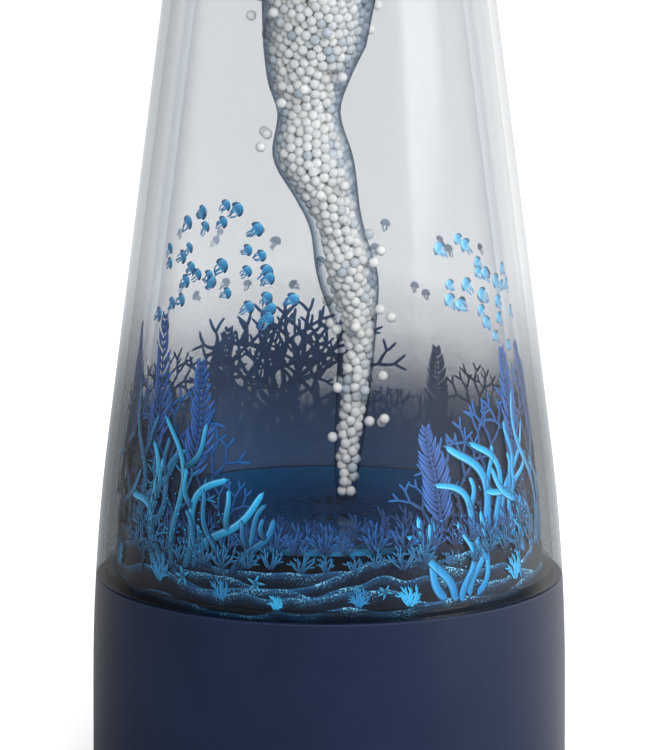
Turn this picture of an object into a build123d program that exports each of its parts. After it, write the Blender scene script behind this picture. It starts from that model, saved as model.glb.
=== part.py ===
from build123d import *
import math
import os

# Liquid motion lamp: a printed tank of liquid inside a clear cone, on a round base.
# A motor in the base turns a magnet disc under the tank. Through the clear tank floor it drags
# round an impeller in a well, which draws small beads down into a twisting column.
# Millimetres, Z up, the table at height zero, the front of the lamp towards -Y.

# The whole lamp
lamp_height = 340.0
widest_radius = 65.0
widest_height = 28.0
side_slope_deg = 7.04
side_arc_radius = 546.0
seam_height = 57.0
cap_height = 29.0
seam_gap = 0.3
edge_chamfer = 0.4
moving_gap = 0.3
seat_gap = 0.15
running_gap = 0.05
fitted_gap = 0.01
cut_overrun = 6.0

# Base shell, with the deck and screw posts moulded in
shell_wall = 2.5
shell_corner_radius = 5.0
ground_gap = 1.5
seat_depth = 6.0
deck_thickness = 3.0
deck_hole_radius = 10.0
post_radius = 3.5
post_setback = 15.0
post_count = 4
post_start_deg = 45.0

# Rear control panel
panel_recess = 1.5
panel_thickness = 3.0
panel_pad_width = 22.0
panel_width = 16.0
panel_low_gap = 0.5
panel_top_drop = 2.0

# Bottom plate and its pads
plate_thickness = 3.0
plate_gap = 0.3
pad_radius = 6.0
pad_seat_depth = 0.7
pad_setback = 19.0
pad_count = 4
head_recess_depth = 1.7

# Screws of two sizes
screw_shank_radius = 1.4
screw_head_radius = 2.8
screw_head_height = 1.4
small_shank_radius = 1.0
small_head_radius = 2.0
small_head_height = 1.3
screw_slot_width = 0.8
screw_slot_depth = 0.7
screw_hole_gap = 0.3
screw_tip_room = 0.6
plate_screw_length = 11.0
tank_screw_length = 8.5
bracket_screw_length = 6.4
stopper_screw_length = 18.0
motor_screw_length = 3.0
led_screw_length = 3.6
board_screw_length = 7.0

# Clear cover
cover_wall = 2.5
spigot_wall = 2.0
cover_step_height = 2.5

# Printed sleeve and tank
print_inset = 6.1
sleeve_wall = 0.6
sleeve_drop = 8.0
tank_wall = 2.0
tank_drop = 15.0
shoulder_thickness = 3.0
neck_radius = 13.0
neck_wall = 3.0
neck_height = 10.0
top_ring_thickness = 2.5

# Tank floor, its seal and its bosses
floor_rise = 18.0
floor_disc_thickness = 1.2
web_thickness = 2.5
floor_rim_wall = 3.5
floor_boss_radius = 3.2
floor_boss_setback = 16.5
floor_boss_count = 6
seal_section = 2.4
seal_rise = 10.0
well_radius = 16.0
well_depth = 8.0
well_wall = 2.0
hub_boss_radius = 3.5
hub_boss_height = 0.8

# Impeller on its pin, and the guard over it
pin_radius = 1.25
pin_seat_depth = 2.0
pin_top_gap = 0.1
impeller_side_gap = 2.0
impeller_disc_thickness = 2.6
impeller_hub_radius = 4.0
blade_count = 6
blade_height = 2.8
blade_thickness = 1.2
blade_sweep_deg = 24.0
blade_edge = 0.8
retainer_radius = 2.6
retainer_height = 0.8
guard_seat = 2.5
guard_thickness = 1.5
guard_slot_count = 16
guard_slot_width = 1.6
guard_slot_start = 6.0
guard_slot_margin = 1.0

# Coupling magnets, in the impeller and in the drive disc
magnet_radius = 3.0
magnet_height = 2.2
magnet_setback = 5.0
magnet_count = 4

# Drive disc on the motor shaft
drive_overhang = 1.0
drive_disc_thickness = 3.4
drive_hub_radius = 5.0
drive_hub_drop = 3.5
drive_top_gap = 0.8
shaft_cover = 1.0

# Motor, its bracket and its rubber dampers
motor_radius = 12.2
motor_foot_room = 10.0
motor_wall = 1.0
motor_nose_radius = 4.0
motor_nose_height = 2.0
motor_end_thickness = 3.0
motor_screw_circle_radius = 8.0
bush_radius = 3.0
bush_length = 3.0
shaft_radius = 1.0
armature_radius = 8.5
armature_head_room = 4.7
commutator_radius = 3.0
commutator_length = 2.0
field_magnet_thickness = 1.9
field_magnet_gap_width = 8.0
terminal_width = 2.2
terminal_thickness = 0.5
terminal_length = 2.5
terminal_spacing = 12.0
bracket_setback = 34.0
bracket_thickness = 2.0
damper_radius = 4.0
damper_thickness = 2.0
damper_setback = 4.5
damper_count = 3
damper_start_deg = 30.0

# Ring of lamps and its opal cover
led_board_gap = 1.5
led_board_setback = 23.0
board_thickness = 1.6
led_count = 12
led_size = 5.0
led_height = 1.5
led_screw_setback = 3.0
led_screw_count = 3
led_screw_start_deg = 15.0
diffuser_gap = 1.0
diffuser_wall = 1.5
diffuser_height = 13.0
diffuser_overhang = 2.5

# Control board with its switches, buttons and inlet jack
control_board_width = 30.0
control_board_end_gap = 2.0
control_board_setback = 12.0
board_boss_radius = 2.5
board_boss_across = 12.0
switch_size = 6.0
switch_height = 3.4
plunger_radius = 1.7
plunger_reach = 1.0
button_travel = 0.8
button_lip = 1.5
button_flange_gap = 0.5
button_flange_thickness = 1.2
button_stand = 1.2
button_edge = 0.5
button_stem_radius = 1.5
jack_width = 9.0
jack_length = 10.0
jack_block_depth = 4.5
jack_nose_radius = 4.0
jack_bore_radius = 2.85
jack_bore_depth = 9.0
jack_pin_radius = 1.0
jack_pin_recess = 1.0
chip_width = 8.0
chip_length = 5.0
chip_thickness = 1.6
chip_drop = 7.0

# Leads inside the base
lead_radius = 0.6
lead_bend = 4.0
lead_start_rise = 9.5
lead_straight = 12.0
lead_slope_run = 14.0
lead_level = 3.5
led_lead_drop = 9.0
led_lead_setback = 6.0
led_lead_across = 8.0
led_lead_spacing = 3.0

# Cap and stopper at the top
cap_wall = 2.5
cap_corner_radius = 8.0
cap_dome = 1.5
cap_skirt_wall = 2.0
cap_skirt_depth = 7.0
cap_boss_radius = 5.0
stopper_fit = 0.1
stopper_depth = 9.0
stopper_flange_thickness = 4.0
stopper_edge = 0.6

# Liquid, with the hollow twist that the beads line
liquid_drop = 11.0
vortex_mouth_gap = 6.5
vortex_foot_rise = 3.0
vortex_ring_count = 40
bead_probe_count = 5
bead_diameter = 3.0
bead_gap = 0.1
bead_count = 340
golden_angle_deg = 137.508
# For each section: share of the twist's height, then sideways and depth as shares of its mouth,
# and how far it opens from one bead's room to the mouth, as a share
vortex_shares = (
    (0.0, 0.21, 0.04, 0.03),
    (0.06, 0.24, 0.07, 0.085),
    (0.15, 0.32, 0.1, 0.115),
    (0.22, 0.37, 0.06, 0.125),
    (0.3, 0.28, 0.0, 0.255),
    (0.36, 0.15, -0.06, 0.225),
    (0.395, 0.03, -0.08, 0.275),
    (0.46, -0.19, -0.04, 0.43),
    (0.52, -0.25, 0.04, 0.32),
    (0.56, -0.26, 0.08, 0.44),
    (0.61, -0.18, 0.1, 0.59),
    (0.74, -0.08, 0.05, 0.74),
    (0.87, 0.0, 0.0, 0.87),
    (1.0, 0.0, 0.0, 1.0),
)

# Levels and places that follow from the sizes above
cap_seam_height = lamp_height - cap_height
deck_top = seam_height - seat_depth
deck_bottom = deck_top - deck_thickness
cover_low = seam_height + seam_gap
cap_low = cap_seam_height + seam_gap
plate_top = ground_gap + plate_thickness
plate_radius = widest_radius - shell_corner_radius - plate_gap
post_circle_radius = widest_radius - post_setback
pad_circle_radius = widest_radius - pad_setback
tank_top = cap_seam_height - tank_drop
sleeve_top = tank_top - sleeve_drop
liquid_top = tank_top - liquid_drop
tank_inset = print_inset + sleeve_wall + seat_gap
liquid_inset = tank_inset + tank_wall
floor_boss_circle_radius = widest_radius - floor_boss_setback
floor_disc_top = seam_height + floor_rise
web_top = floor_disc_top - floor_disc_thickness
web_bottom = web_top - web_thickness
well_floor = web_top - well_depth
well_bottom = well_floor - well_wall
seal_height = seam_height + seal_rise
hub_boss_top = well_floor + hub_boss_height
impeller_radius = well_radius - impeller_side_gap
magnet_circle_radius = impeller_radius - magnet_setback
drive_radius = impeller_radius + drive_overhang
impeller_low = hub_boss_top + moving_gap
impeller_disc_top = impeller_low + impeller_disc_thickness
impeller_top = impeller_disc_top + blade_height
guard_radius = well_radius + guard_seat
guard_slot_end = well_radius - guard_slot_margin
guard_top = web_top + guard_thickness
liquid_low = guard_top + moving_gap
vortex_foot = liquid_low + vortex_foot_rise
drive_top = well_bottom - drive_top_gap
drive_low = drive_top - drive_disc_thickness
shaft_top = drive_top - shaft_cover
bracket_top = deck_bottom - damper_thickness
motor_face = bracket_top - bracket_thickness
terminal_low = plate_top + motor_foot_room
motor_end = terminal_low + terminal_length
motor_bore = motor_radius - motor_wall - fitted_gap
armature_low = motor_end + motor_end_thickness + commutator_length + moving_gap
armature_top = motor_face - armature_head_room
shaft_low = motor_end + running_gap
bracket_radius = widest_radius - bracket_setback
damper_circle_radius = bracket_radius - damper_setback
diffuser_inner = well_radius + well_wall + diffuser_gap
led_board_inner = diffuser_inner + diffuser_wall + led_board_gap
led_board_outer = widest_radius - led_board_setback
led_circle_radius = (led_board_inner + led_board_outer) / 2
led_screw_circle_radius = led_board_outer - led_screw_setback
led_lead_depth = led_board_outer - led_lead_setback
led_board_top = deck_top + board_thickness
diffuser_outer = led_board_outer + diffuser_overhang
diffuser_top = deck_top + diffuser_height
panel_face = widest_radius - panel_recess
panel_back = panel_face - panel_thickness
board_face = widest_radius - control_board_setback
board_back = board_face - board_thickness
panel_low = ground_gap + shell_corner_radius + panel_low_gap
panel_length = deck_top - panel_top_drop - panel_low
panel_height = panel_low + panel_length / 2
control_spacing = (panel_length - panel_width) / 2
button_flange_radius = control_spacing / 2 - button_flange_gap
button_radius = button_flange_radius - button_lip
control_board_low = plate_top + control_board_end_gap
control_board_high = deck_bottom - control_board_end_gap
chip_height = control_board_high - chip_drop
lead_start_height = control_board_low + lead_start_rise
led_lead_height = control_board_high - led_lead_drop
light_button_height = panel_height + control_spacing
swirl_button_height = panel_height
jack_height = panel_height - control_spacing
switch_face = board_face + switch_height
neck_top = tank_top + neck_height
neck_bore = neck_radius - neck_wall
stopper_low = neck_top + moving_gap - stopper_depth
stopper_top = neck_top + moving_gap + stopper_flange_thickness
cap_crown = lamp_height - cap_dome
cap_corner_height = cap_crown - cap_corner_radius
plate_head_face = ground_gap + head_recess_depth


def straight_start(inset):
    """Height at which the curved side becomes a straight cone."""
    return widest_height + (side_arc_radius - inset) * math.sin(math.radians(side_slope_deg))


def side_radius(height, inset=0):
    """Radius of the lamp's side at a height, measured inset inside its surface."""
    slope = math.radians(side_slope_deg)
    arc = side_arc_radius - inset
    rise = min(max(height - widest_height, 0), arc * math.sin(slope))
    beyond = max(height - straight_start(inset), 0)
    return widest_radius - side_arc_radius + math.sqrt(arc**2 - rise**2) - beyond * math.tan(slope)


def side_point(height, inset=0):
    return (side_radius(height, inset), height)


def side_edges(start, end, inset=0):
    """Edges along the side between two heights: upright, then an arc, then a straight cone."""
    low, high = min(start, end), max(start, end)
    breaks = [z for z in (widest_height, straight_start(inset)) if low < z < high]
    stops = [low, *breaks, high]
    edges = []
    for a, b in zip(stops, stops[1:]):
        if b <= widest_height or a >= straight_start(inset):
            edges.append(Line(side_point(a, inset), side_point(b, inset)))
        else:
            middle = side_point((a + b) / 2, inset)
            edges.append(ThreePointArc(side_point(a, inset), middle, side_point(b, inset)))
    return edges


def corner_edge(centre_radius, centre_height, radius, upwards):
    """A quarter arc from the side round to the top or bottom of a turned piece."""
    reach = radius * math.sqrt(0.5)
    turn = 1 if upwards else -1
    return ThreePointArc(
        (centre_radius + radius, centre_height),
        (centre_radius + reach, centre_height + turn * reach),
        (centre_radius, centre_height + turn * radius),
    )


def turned(edges):
    """A solid turned about Z from edges in (radius, height)."""
    return revolve(Plane.XZ * make_face(Curve() + edges), axis=Axis.Z)


def disc(radius, low, high, place=(0, 0)):
    upright = (Align.CENTER, Align.CENTER, Align.MIN)
    return Pos(place[0], place[1], low) * Cylinder(radius, high - low, align=upright)


def ring(outer, inner, low, high, place=(0, 0)):
    return disc(outer, low, high, place) - disc(inner, low - cut_overrun, high + cut_overrun, place)


def block(width, depth, low, high, place=(0, 0)):
    upright = (Align.CENTER, Align.CENTER, Align.MIN)
    return Pos(place[0], place[1], low) * Box(width, depth, high - low, align=upright)


def circle_places(count, radius, start_deg=0):
    """Places (x, y) evenly round a circle."""
    turns = [math.radians(start_deg + 360 * i / count) for i in range(count)]
    return [(radius * math.cos(turn), radius * math.sin(turn)) for turn in turns]


def rearward(radius, start, end, height, across=0):
    """A round bar along +Y, from one depth to another."""
    plane = Plane(origin=(across, start, height), x_dir=(1, 0, 0), z_dir=(0, 1, 0))
    return extrude(plane * Circle(radius), end - start)


def pan_head_screw(shank_radius, head_radius, head_height, length):
    """A slotted screw pointing up, with the underside of its head at height zero."""
    body = disc(shank_radius, 0, length) + disc(head_radius, -head_height, 0)
    slot_low, slot_high = -head_height - cut_overrun, screw_slot_depth - head_height
    return body - block(2 * head_radius + cut_overrun, screw_slot_width, slot_low, slot_high)


def screw(length):
    return pan_head_screw(screw_shank_radius, screw_head_radius, screw_head_height, length)


def small_screw(length):
    return pan_head_screw(small_shank_radius, small_head_radius, small_head_height, length)


def group(shapes):
    """Separate solids kept together as one piece."""
    return Compound(children=[solid for shape in shapes for solid in shape.solids()])


def copies(shape, places, height=0):
    return group(Pos(x, y, height) * shape for x, y in places)


post_places = circle_places(post_count, post_circle_radius, post_start_deg)
pad_places = circle_places(pad_count, pad_circle_radius)
floor_boss_places = circle_places(floor_boss_count, floor_boss_circle_radius)
damper_places = circle_places(damper_count, damper_circle_radius, damper_start_deg)
led_screw_places = circle_places(led_screw_count, led_screw_circle_radius, led_screw_start_deg)
motor_screw_places = circle_places(2, motor_screw_circle_radius)
magnet_places = circle_places(magnet_count, magnet_circle_radius)
terminal_places = circle_places(2, terminal_spacing / 2)
led_lead_places = [(led_lead_across + i * led_lead_spacing, led_lead_depth) for i in range(2)]
vortex_mouth_radius = side_radius(liquid_top, liquid_inset) - vortex_mouth_gap
bead_room = bead_diameter / 2 + bead_gap


def drilled(shape, radius, low, high, places):
    for place in places:
        shape -= disc(radius, low, high, place)
    return shape


def rear_pad():
    """Thick flat wall behind the controls, with the two bosses that carry the control board."""
    depth = panel_face - panel_back
    low = ground_gap + shell_corner_radius
    pad = block(panel_pad_width, depth, low, deck_bottom, (0, panel_back + depth / 2))
    for across in (-board_boss_across, board_boss_across):
        skin = math.sqrt((widest_radius - shell_wall / 2) ** 2 - across**2)
        pad += rearward(board_boss_radius, board_face, skin, panel_height, across)
    return pad


def rear_openings():
    """Shallow stadium recess, two button holes, the jack hole and the board's screw holes."""
    plane = Plane(origin=(0, panel_face, panel_height), x_dir=(0, 0, 1), z_dir=(0, 1, 0))
    cuts = extrude(plane * SlotOverall(panel_length, panel_width), cut_overrun)
    behind, beyond = panel_back - cut_overrun / 2, panel_face + cut_overrun
    for height in (light_button_height, swirl_button_height):
        cuts += rearward(button_radius + moving_gap, behind, beyond, height)
    cuts += rearward(jack_nose_radius + seat_gap, behind, beyond, jack_height)
    tip = board_back + board_screw_length + screw_tip_room
    for across in (-board_boss_across, board_boss_across):
        pilot = small_shank_radius + fitted_gap
        cuts += rearward(pilot, board_face - cut_overrun, tip, panel_height, across)
    return cuts


def base_shell():
    """Round skin with a rolled bottom edge, the deck across it and the posts under the deck."""
    corner = widest_radius - shell_corner_radius
    corner_top = ground_gap + shell_corner_radius
    rim = side_radius(seam_height)
    edges = [
        corner_edge(corner, corner_top, shell_corner_radius, False),
        *side_edges(corner_top, seam_height - edge_chamfer),
        Polyline(
            side_point(seam_height - edge_chamfer),
            (rim - edge_chamfer, seam_height),
            side_point(seam_height, shell_wall),
        ),
        *side_edges(deck_top, seam_height, shell_wall),
        Polyline(
            side_point(deck_top, shell_wall),
            (deck_hole_radius, deck_top),
            (deck_hole_radius, deck_bottom),
            side_point(deck_bottom, shell_wall),
        ),
        *side_edges(corner_top, deck_bottom, shell_wall),
        corner_edge(corner, corner_top, shell_corner_radius - shell_wall, False),
        Line((corner, ground_gap + shell_wall), (corner, ground_gap)),
    ]
    shell = turned(edges)
    for place in post_places:
        shell += disc(post_radius, plate_top, deck_bottom, place)
    shell += rear_pad()
    shell -= rear_openings()
    pilot = screw_shank_radius + fitted_gap
    small_pilot = small_shank_radius + fitted_gap
    below, above = deck_bottom - cut_overrun, deck_top + cut_overrun
    post_tip = plate_head_face + plate_screw_length + screw_tip_room
    shell = drilled(shell, pilot, plate_top - cut_overrun, post_tip, post_places)
    shell = drilled(shell, screw_shank_radius + screw_hole_gap, below, above, floor_boss_places)
    shell = drilled(shell, pilot, below, above, damper_places)
    shell = drilled(shell, small_pilot, below, above, led_screw_places)
    return drilled(shell, lead_radius + screw_hole_gap, below, above, led_lead_places)


def bottom_plate():
    plate = disc(plate_radius, ground_gap, plate_top)
    below = ground_gap - cut_overrun
    recess = screw_head_radius + screw_hole_gap
    plate = drilled(plate, recess, below, plate_head_face, post_places)
    plate = drilled(plate, screw_shank_radius + screw_hole_gap, below, plate_top + cut_overrun, post_places)
    return drilled(plate, pad_radius + running_gap, below, ground_gap + pad_seat_depth, pad_places)


def foot_pads():
    return copies(disc(pad_radius, 0, ground_gap + pad_seat_depth), pad_places)


def plate_screws():
    return copies(screw(plate_screw_length), post_places, plate_head_face)


def outer_cover():
    """Clear cone whose stepped-in foot stands on the deck, inside the base shell's rim."""
    foot_outer = side_radius(seam_height, shell_wall + seat_gap)
    foot_inner = foot_outer - spigot_wall
    step = cover_low + cover_step_height
    edges = [
        Polyline(
            (foot_inner, deck_top),
            (foot_outer, deck_top),
            (foot_outer, cover_low),
            (side_radius(cover_low) - edge_chamfer, cover_low),
            side_point(cover_low + edge_chamfer),
        ),
        *side_edges(cover_low + edge_chamfer, cap_seam_height - edge_chamfer),
        Polyline(
            side_point(cap_seam_height - edge_chamfer),
            (side_radius(cap_seam_height) - edge_chamfer, cap_seam_height),
            side_point(cap_seam_height, cover_wall),
        ),
        *side_edges(step, cap_seam_height, cover_wall),
        Polyline(side_point(step, cover_wall), (foot_inner, step), (foot_inner, deck_top)),
    ]
    return turned(edges)


def print_sleeve():
    """Thin printed film round the tank."""
    inner = print_inset + sleeve_wall
    edges = [
        Line(side_point(deck_top, inner), side_point(deck_top, print_inset)),
        *side_edges(deck_top, sleeve_top, print_inset),
        Line(side_point(sleeve_top, print_inset), side_point(sleeve_top, inner)),
        *side_edges(deck_top, sleeve_top, inner),
    ]
    return turned(edges)


def tank():
    """Clear inner cone with a flat shoulder and a filler neck, standing on the deck."""
    shoulder = side_radius(tank_top, tank_inset)
    shoulder_under = tank_top - shoulder_thickness
    edges = [
        Line(side_point(deck_top, liquid_inset), side_point(deck_top, tank_inset)),
        *side_edges(deck_top, tank_top - edge_chamfer, tank_inset),
        Polyline(
            side_point(tank_top - edge_chamfer, tank_inset),
            (shoulder - edge_chamfer, tank_top),
            (neck_radius, tank_top),
            (neck_radius, neck_top),
            (neck_bore, neck_top),
            (neck_bore, shoulder_under),
            side_point(shoulder_under, liquid_inset),
        ),
        *side_edges(deck_top, shoulder_under, liquid_inset),
    ]
    return turned(edges)


def top_ring():
    """Ring on the tank's shoulder that centres the neck in the cover."""
    high = tank_top + top_ring_thickness
    outer = side_radius(high, cover_wall + seat_gap)
    return ring(outer, neck_radius + seat_gap, tank_top, high)


def floor_radius():
    return side_radius(floor_disc_top, liquid_inset + seat_gap)


def seal_radius():
    """Radius of the seal's ring, which presses on the tank's inner wall."""
    return side_radius(seal_height, liquid_inset) - seal_section / 2 - fitted_gap


def tank_floor():
    """Upturned clear dish with the impeller's well, the seal's groove and the screw bosses."""
    outer = floor_radius()
    inner = outer - floor_rim_wall
    half_groove = seal_section / 2 + running_gap
    groove = seal_radius() - half_groove
    well_outer = well_radius + well_wall
    points = [
        (0, well_bottom),
        (well_outer, well_bottom),
        (well_outer, web_bottom),
        (inner, web_bottom),
        (inner, deck_top),
        (outer, deck_top),
        (outer, seal_height - half_groove),
        (groove, seal_height - half_groove),
        (groove, seal_height + half_groove),
        (outer, seal_height + half_groove),
        (outer, web_top),
        (well_radius, web_top),
        (well_radius, well_floor),
        (hub_boss_radius, well_floor),
        (hub_boss_radius, hub_boss_top),
        (0, hub_boss_top),
        (0, well_bottom),
    ]
    shape = turned([Polyline(*points)])
    for place in floor_boss_places:
        shape += disc(floor_boss_radius, deck_top, web_bottom + web_thickness / 2, place)
    tip = deck_bottom + tank_screw_length + screw_tip_room
    shape = drilled(shape, screw_shank_radius + fitted_gap, deck_top - cut_overrun, tip, floor_boss_places)
    return shape - disc(pin_radius + fitted_gap, hub_boss_top - pin_seat_depth, hub_boss_top + cut_overrun)


def floor_disc():
    """Blue seabed ring on the tank floor, round the guard."""
    return ring(floor_radius(), guard_radius + seat_gap, web_top, floor_disc_top)


def tank_seal():
    section = Plane.XZ * Pos(seal_radius(), seal_height) * Circle(seal_section / 2)
    return revolve(section, axis=Axis.Z)


def tank_screws():
    return copies(screw(tank_screw_length), floor_boss_places, deck_bottom)


def impeller_pin():
    return disc(pin_radius, hub_boss_top - pin_seat_depth, web_top - pin_top_gap)


def impeller_retainer():
    low = impeller_top + moving_gap
    return ring(retainer_radius, pin_radius + fitted_gap, low, low + retainer_height)


def impeller():
    """Disc with swept blades on top and magnet pockets underneath."""
    shape = disc(impeller_radius, impeller_low, impeller_disc_top)
    shape += disc(impeller_hub_radius, impeller_low, impeller_top)
    inside = disc(impeller_radius - blade_edge, impeller_disc_top, impeller_top)
    start = impeller_hub_radius / 2
    blade = block(impeller_radius - start, blade_thickness, impeller_disc_top, impeller_top)
    swept = Pos((impeller_radius + start) / 2, 0, 0) * Rot(0, 0, blade_sweep_deg) * blade
    for i in range(blade_count):
        shape += (Rot(0, 0, 360 * i / blade_count) * swept) & inside
    shape -= disc(pin_radius + running_gap, impeller_low - cut_overrun, impeller_top + cut_overrun)
    pocket_top = impeller_low + magnet_height
    return drilled(shape, magnet_radius + fitted_gap, impeller_low - cut_overrun, pocket_top, magnet_places)


def impeller_magnets():
    return copies(disc(magnet_radius, impeller_low, impeller_low + magnet_height), magnet_places)


def impeller_guard():
    """Flat slotted disc over the well that keeps the beads out of the impeller."""
    shape = disc(guard_radius, web_top, guard_top)
    reach = guard_slot_end - guard_slot_start
    middle = (guard_slot_start + reach / 2, 0)
    slot = block(reach, guard_slot_width, web_top - cut_overrun, guard_top + cut_overrun, middle)
    for i in range(guard_slot_count):
        shape -= Rot(0, 0, 360 * i / guard_slot_count) * slot
    return shape


def smooth(before, start, end, after, share):
    """Value a share of the way from start to end, on a smooth curve through all four."""
    bend = 2 * before - 5 * start + 4 * end - after
    twist = 3 * start - 3 * end + after - before
    return start + share / 2 * (end - before + share * (bend + share * twist))


def vortex_at(height):
    """x, y and radius of the twist at a height, smoothly between its chosen shares."""
    level = (height - vortex_foot) / (liquid_top - vortex_foot)
    level = min(max(level, 0), 1)
    rows = [vortex_shares[0], *vortex_shares, vortex_shares[-1]]
    i = max(k for k in range(1, len(rows) - 2) if rows[k][0] <= level or k == 1)
    before, start, end, after = rows[i - 1 : i + 3]
    share = (level - start[0]) / (end[0] - start[0])
    x, y, opening = [smooth(*column, share) for column in zip(before[1:], start[1:], end[1:], after[1:])]
    radius = bead_room + opening * (vortex_mouth_radius - bead_room)
    return vortex_mouth_radius * x, vortex_mouth_radius * y, radius


def liquid():
    """Liquid that turns in the tank, hollow where the twist is."""
    gap = liquid_inset + moving_gap
    edges = [
        Line((0, liquid_low), side_point(liquid_low, gap)),
        *side_edges(liquid_low, liquid_top, gap),
        Polyline(side_point(liquid_top, gap), (0, liquid_top), (0, liquid_low)),
    ]
    rings = []
    for i in range(vortex_ring_count):
        height = vortex_foot + (liquid_top - vortex_foot) * i / (vortex_ring_count - 1)
        x, y, radius = vortex_at(height)
        rings.append(Pos(x, y, height) * Circle(radius))
    return turned(edges) - loft(rings, ruled=True)


def bead_reach(height, turn):
    """Distance from the twist's axis at which a bead just clears the twist's wall."""
    x, y, _ = vortex_at(height)
    reaches = []
    for i in range(-bead_probe_count, bead_probe_count + 1):
        rise = bead_room * i / bead_probe_count
        wall_x, wall_y, wall = vortex_at(height + rise)
        shift = (wall_x - x) * math.cos(turn) + (wall_y - y) * math.sin(turn)
        reaches.append(wall + shift - math.sqrt(max(bead_room**2 - rise**2, 0)))
    return max(min(reaches), 0)


def beads():
    """Beads in a golden-angle spiral along the wall of the twist."""
    radius = bead_diameter / 2
    low, high = vortex_foot + bead_room, liquid_top - radius
    places = []
    for i in range(bead_count):
        height = low + (high - low) * i / (bead_count - 1)
        turn = math.radians(golden_angle_deg) * i
        x, y, _ = vortex_at(height)
        reach = bead_reach(height, turn)
        place = Vector(x + reach * math.cos(turn), y + reach * math.sin(turn), height)
        if all((place - other).length > bead_diameter + bead_gap for other in places):
            places.append(place)
    print("beads", len(places))
    return group(Pos(place.X, place.Y, place.Z) * Sphere(radius) for place in places)


def dome_edge(reach):
    """Arc of a ball centred on the axis, from the cap's crown up to its top."""
    ball = (reach**2 + cap_dome**2) / (2 * cap_dome)
    half = math.asin(reach / ball) / 2
    middle = (ball * math.sin(half), lamp_height - ball + ball * math.cos(half))
    return ThreePointArc((reach, cap_crown), middle, (0, lamp_height))


def top_cap():
    """Hollow cap that carries the cone on to a softly rounded top, with the stopper's boss."""
    corner = side_radius(cap_corner_height) - cap_corner_radius
    skirt_outer = side_radius(cap_seam_height, cover_wall + moving_gap)
    skirt_inner = skirt_outer - cap_skirt_wall
    skirt_low = cap_seam_height - cap_skirt_depth
    step = cap_low + cap_wall
    ceiling = cap_crown - cap_wall
    inner_corner = side_radius(cap_corner_height, cap_wall) - cap_corner_radius + cap_wall
    edges = [
        Polyline(
            (skirt_inner, skirt_low),
            (skirt_outer, skirt_low),
            (skirt_outer, cap_low),
            (side_radius(cap_low) - edge_chamfer, cap_low),
            side_point(cap_low + edge_chamfer),
        ),
        *side_edges(cap_low + edge_chamfer, cap_corner_height),
        corner_edge(corner, cap_corner_height, cap_corner_radius, True),
        dome_edge(corner),
        Polyline((0, lamp_height), (0, ceiling), (inner_corner, ceiling)),
        corner_edge(inner_corner, cap_corner_height, cap_corner_radius - cap_wall, True),
        *side_edges(step, cap_corner_height, cap_wall),
        Polyline(side_point(step, cap_wall), (skirt_inner, step), (skirt_inner, skirt_low)),
    ]
    cap = turned(edges) + disc(cap_boss_radius, stopper_top, ceiling + cap_wall / 2)
    tip = stopper_low + screw_head_height + stopper_screw_length + screw_tip_room
    return cap - disc(screw_shank_radius + fitted_gap, stopper_top - cut_overrun, tip)


def filler_stopper():
    """Soft stopper in the neck, with a recess below for the head of its screw."""
    radius = neck_bore - stopper_fit
    shape = turned(
        [
            Polyline(
                (0, stopper_low),
                (radius - stopper_edge, stopper_low),
                (radius, stopper_low + stopper_edge),
                (radius, neck_top + moving_gap),
                (neck_radius, neck_top + moving_gap),
                (neck_radius, stopper_top),
                (0, stopper_top),
                (0, stopper_low),
            )
        ]
    )
    face = stopper_low + screw_head_height
    shape -= disc(screw_head_radius + screw_hole_gap, stopper_low - cut_overrun, face)
    return shape - disc(screw_shank_radius + screw_hole_gap, stopper_low, stopper_top + cut_overrun)


def stopper_screw():
    return Pos(0, 0, stopper_low + screw_head_height) * screw(stopper_screw_length)


def motor_can():
    """Steel can, open below, with a nose round the upper bush."""
    nose_top = motor_face + motor_nose_height
    shape = disc(motor_radius, motor_end, motor_face) + disc(motor_nose_radius, motor_face, nose_top)
    shape -= disc(motor_radius - motor_wall, motor_end - cut_overrun, motor_face - motor_wall)
    shape -= disc(bush_radius + fitted_gap, motor_end, nose_top + cut_overrun)
    pilot = small_shank_radius + fitted_gap
    return drilled(shape, pilot, motor_end, motor_face + cut_overrun, motor_screw_places)


def motor_bushes():
    """Two bronze bushes, one in the nose and one in the end cap."""
    high = motor_face + motor_nose_height
    bore = shaft_radius + running_gap
    upper = ring(bush_radius, bore, high - bush_length, high)
    return group([upper, ring(bush_radius, bore, motor_end, motor_end + bush_length)])


def motor_end_cap():
    shape = ring(motor_bore, bush_radius + fitted_gap, motor_end, motor_end + motor_end_thickness)
    width, thickness = terminal_width + fitted_gap, terminal_thickness + fitted_gap
    top = motor_end + motor_end_thickness / 2
    for place in terminal_places:
        shape -= block(width, thickness, motor_end - cut_overrun, top, place)
    return shape


def motor_terminals():
    top = motor_end + motor_end_thickness / 2
    return copies(block(terminal_width, terminal_thickness, terminal_low, top), terminal_places)


def motor_shaft():
    return disc(shaft_radius, shaft_low, shaft_top)


def motor_armature():
    """Wound core on the shaft, with the commutator below it."""
    shape = disc(armature_radius, armature_low, armature_top)
    shape += disc(commutator_radius, armature_low - commutator_length, armature_low)
    return shape - disc(shaft_radius + fitted_gap, motor_end, motor_face)


def field_magnets():
    """Two curved magnets inside the can."""
    shape = ring(motor_bore, motor_bore - field_magnet_thickness, armature_low, armature_top)
    return group([shape - block(field_magnet_gap_width, 2 * motor_radius, motor_end, motor_face)])


def motor_bracket():
    below, above = motor_face - cut_overrun, bracket_top + cut_overrun
    shape = ring(bracket_radius, motor_nose_radius + running_gap, motor_face, bracket_top)
    shape = drilled(shape, small_shank_radius + screw_hole_gap, below, above, motor_screw_places)
    return drilled(shape, screw_shank_radius + screw_hole_gap, below, above, damper_places)


def motor_dampers():
    bore = screw_shank_radius + screw_hole_gap
    return copies(ring(damper_radius, bore, bracket_top, deck_bottom), damper_places)


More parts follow.
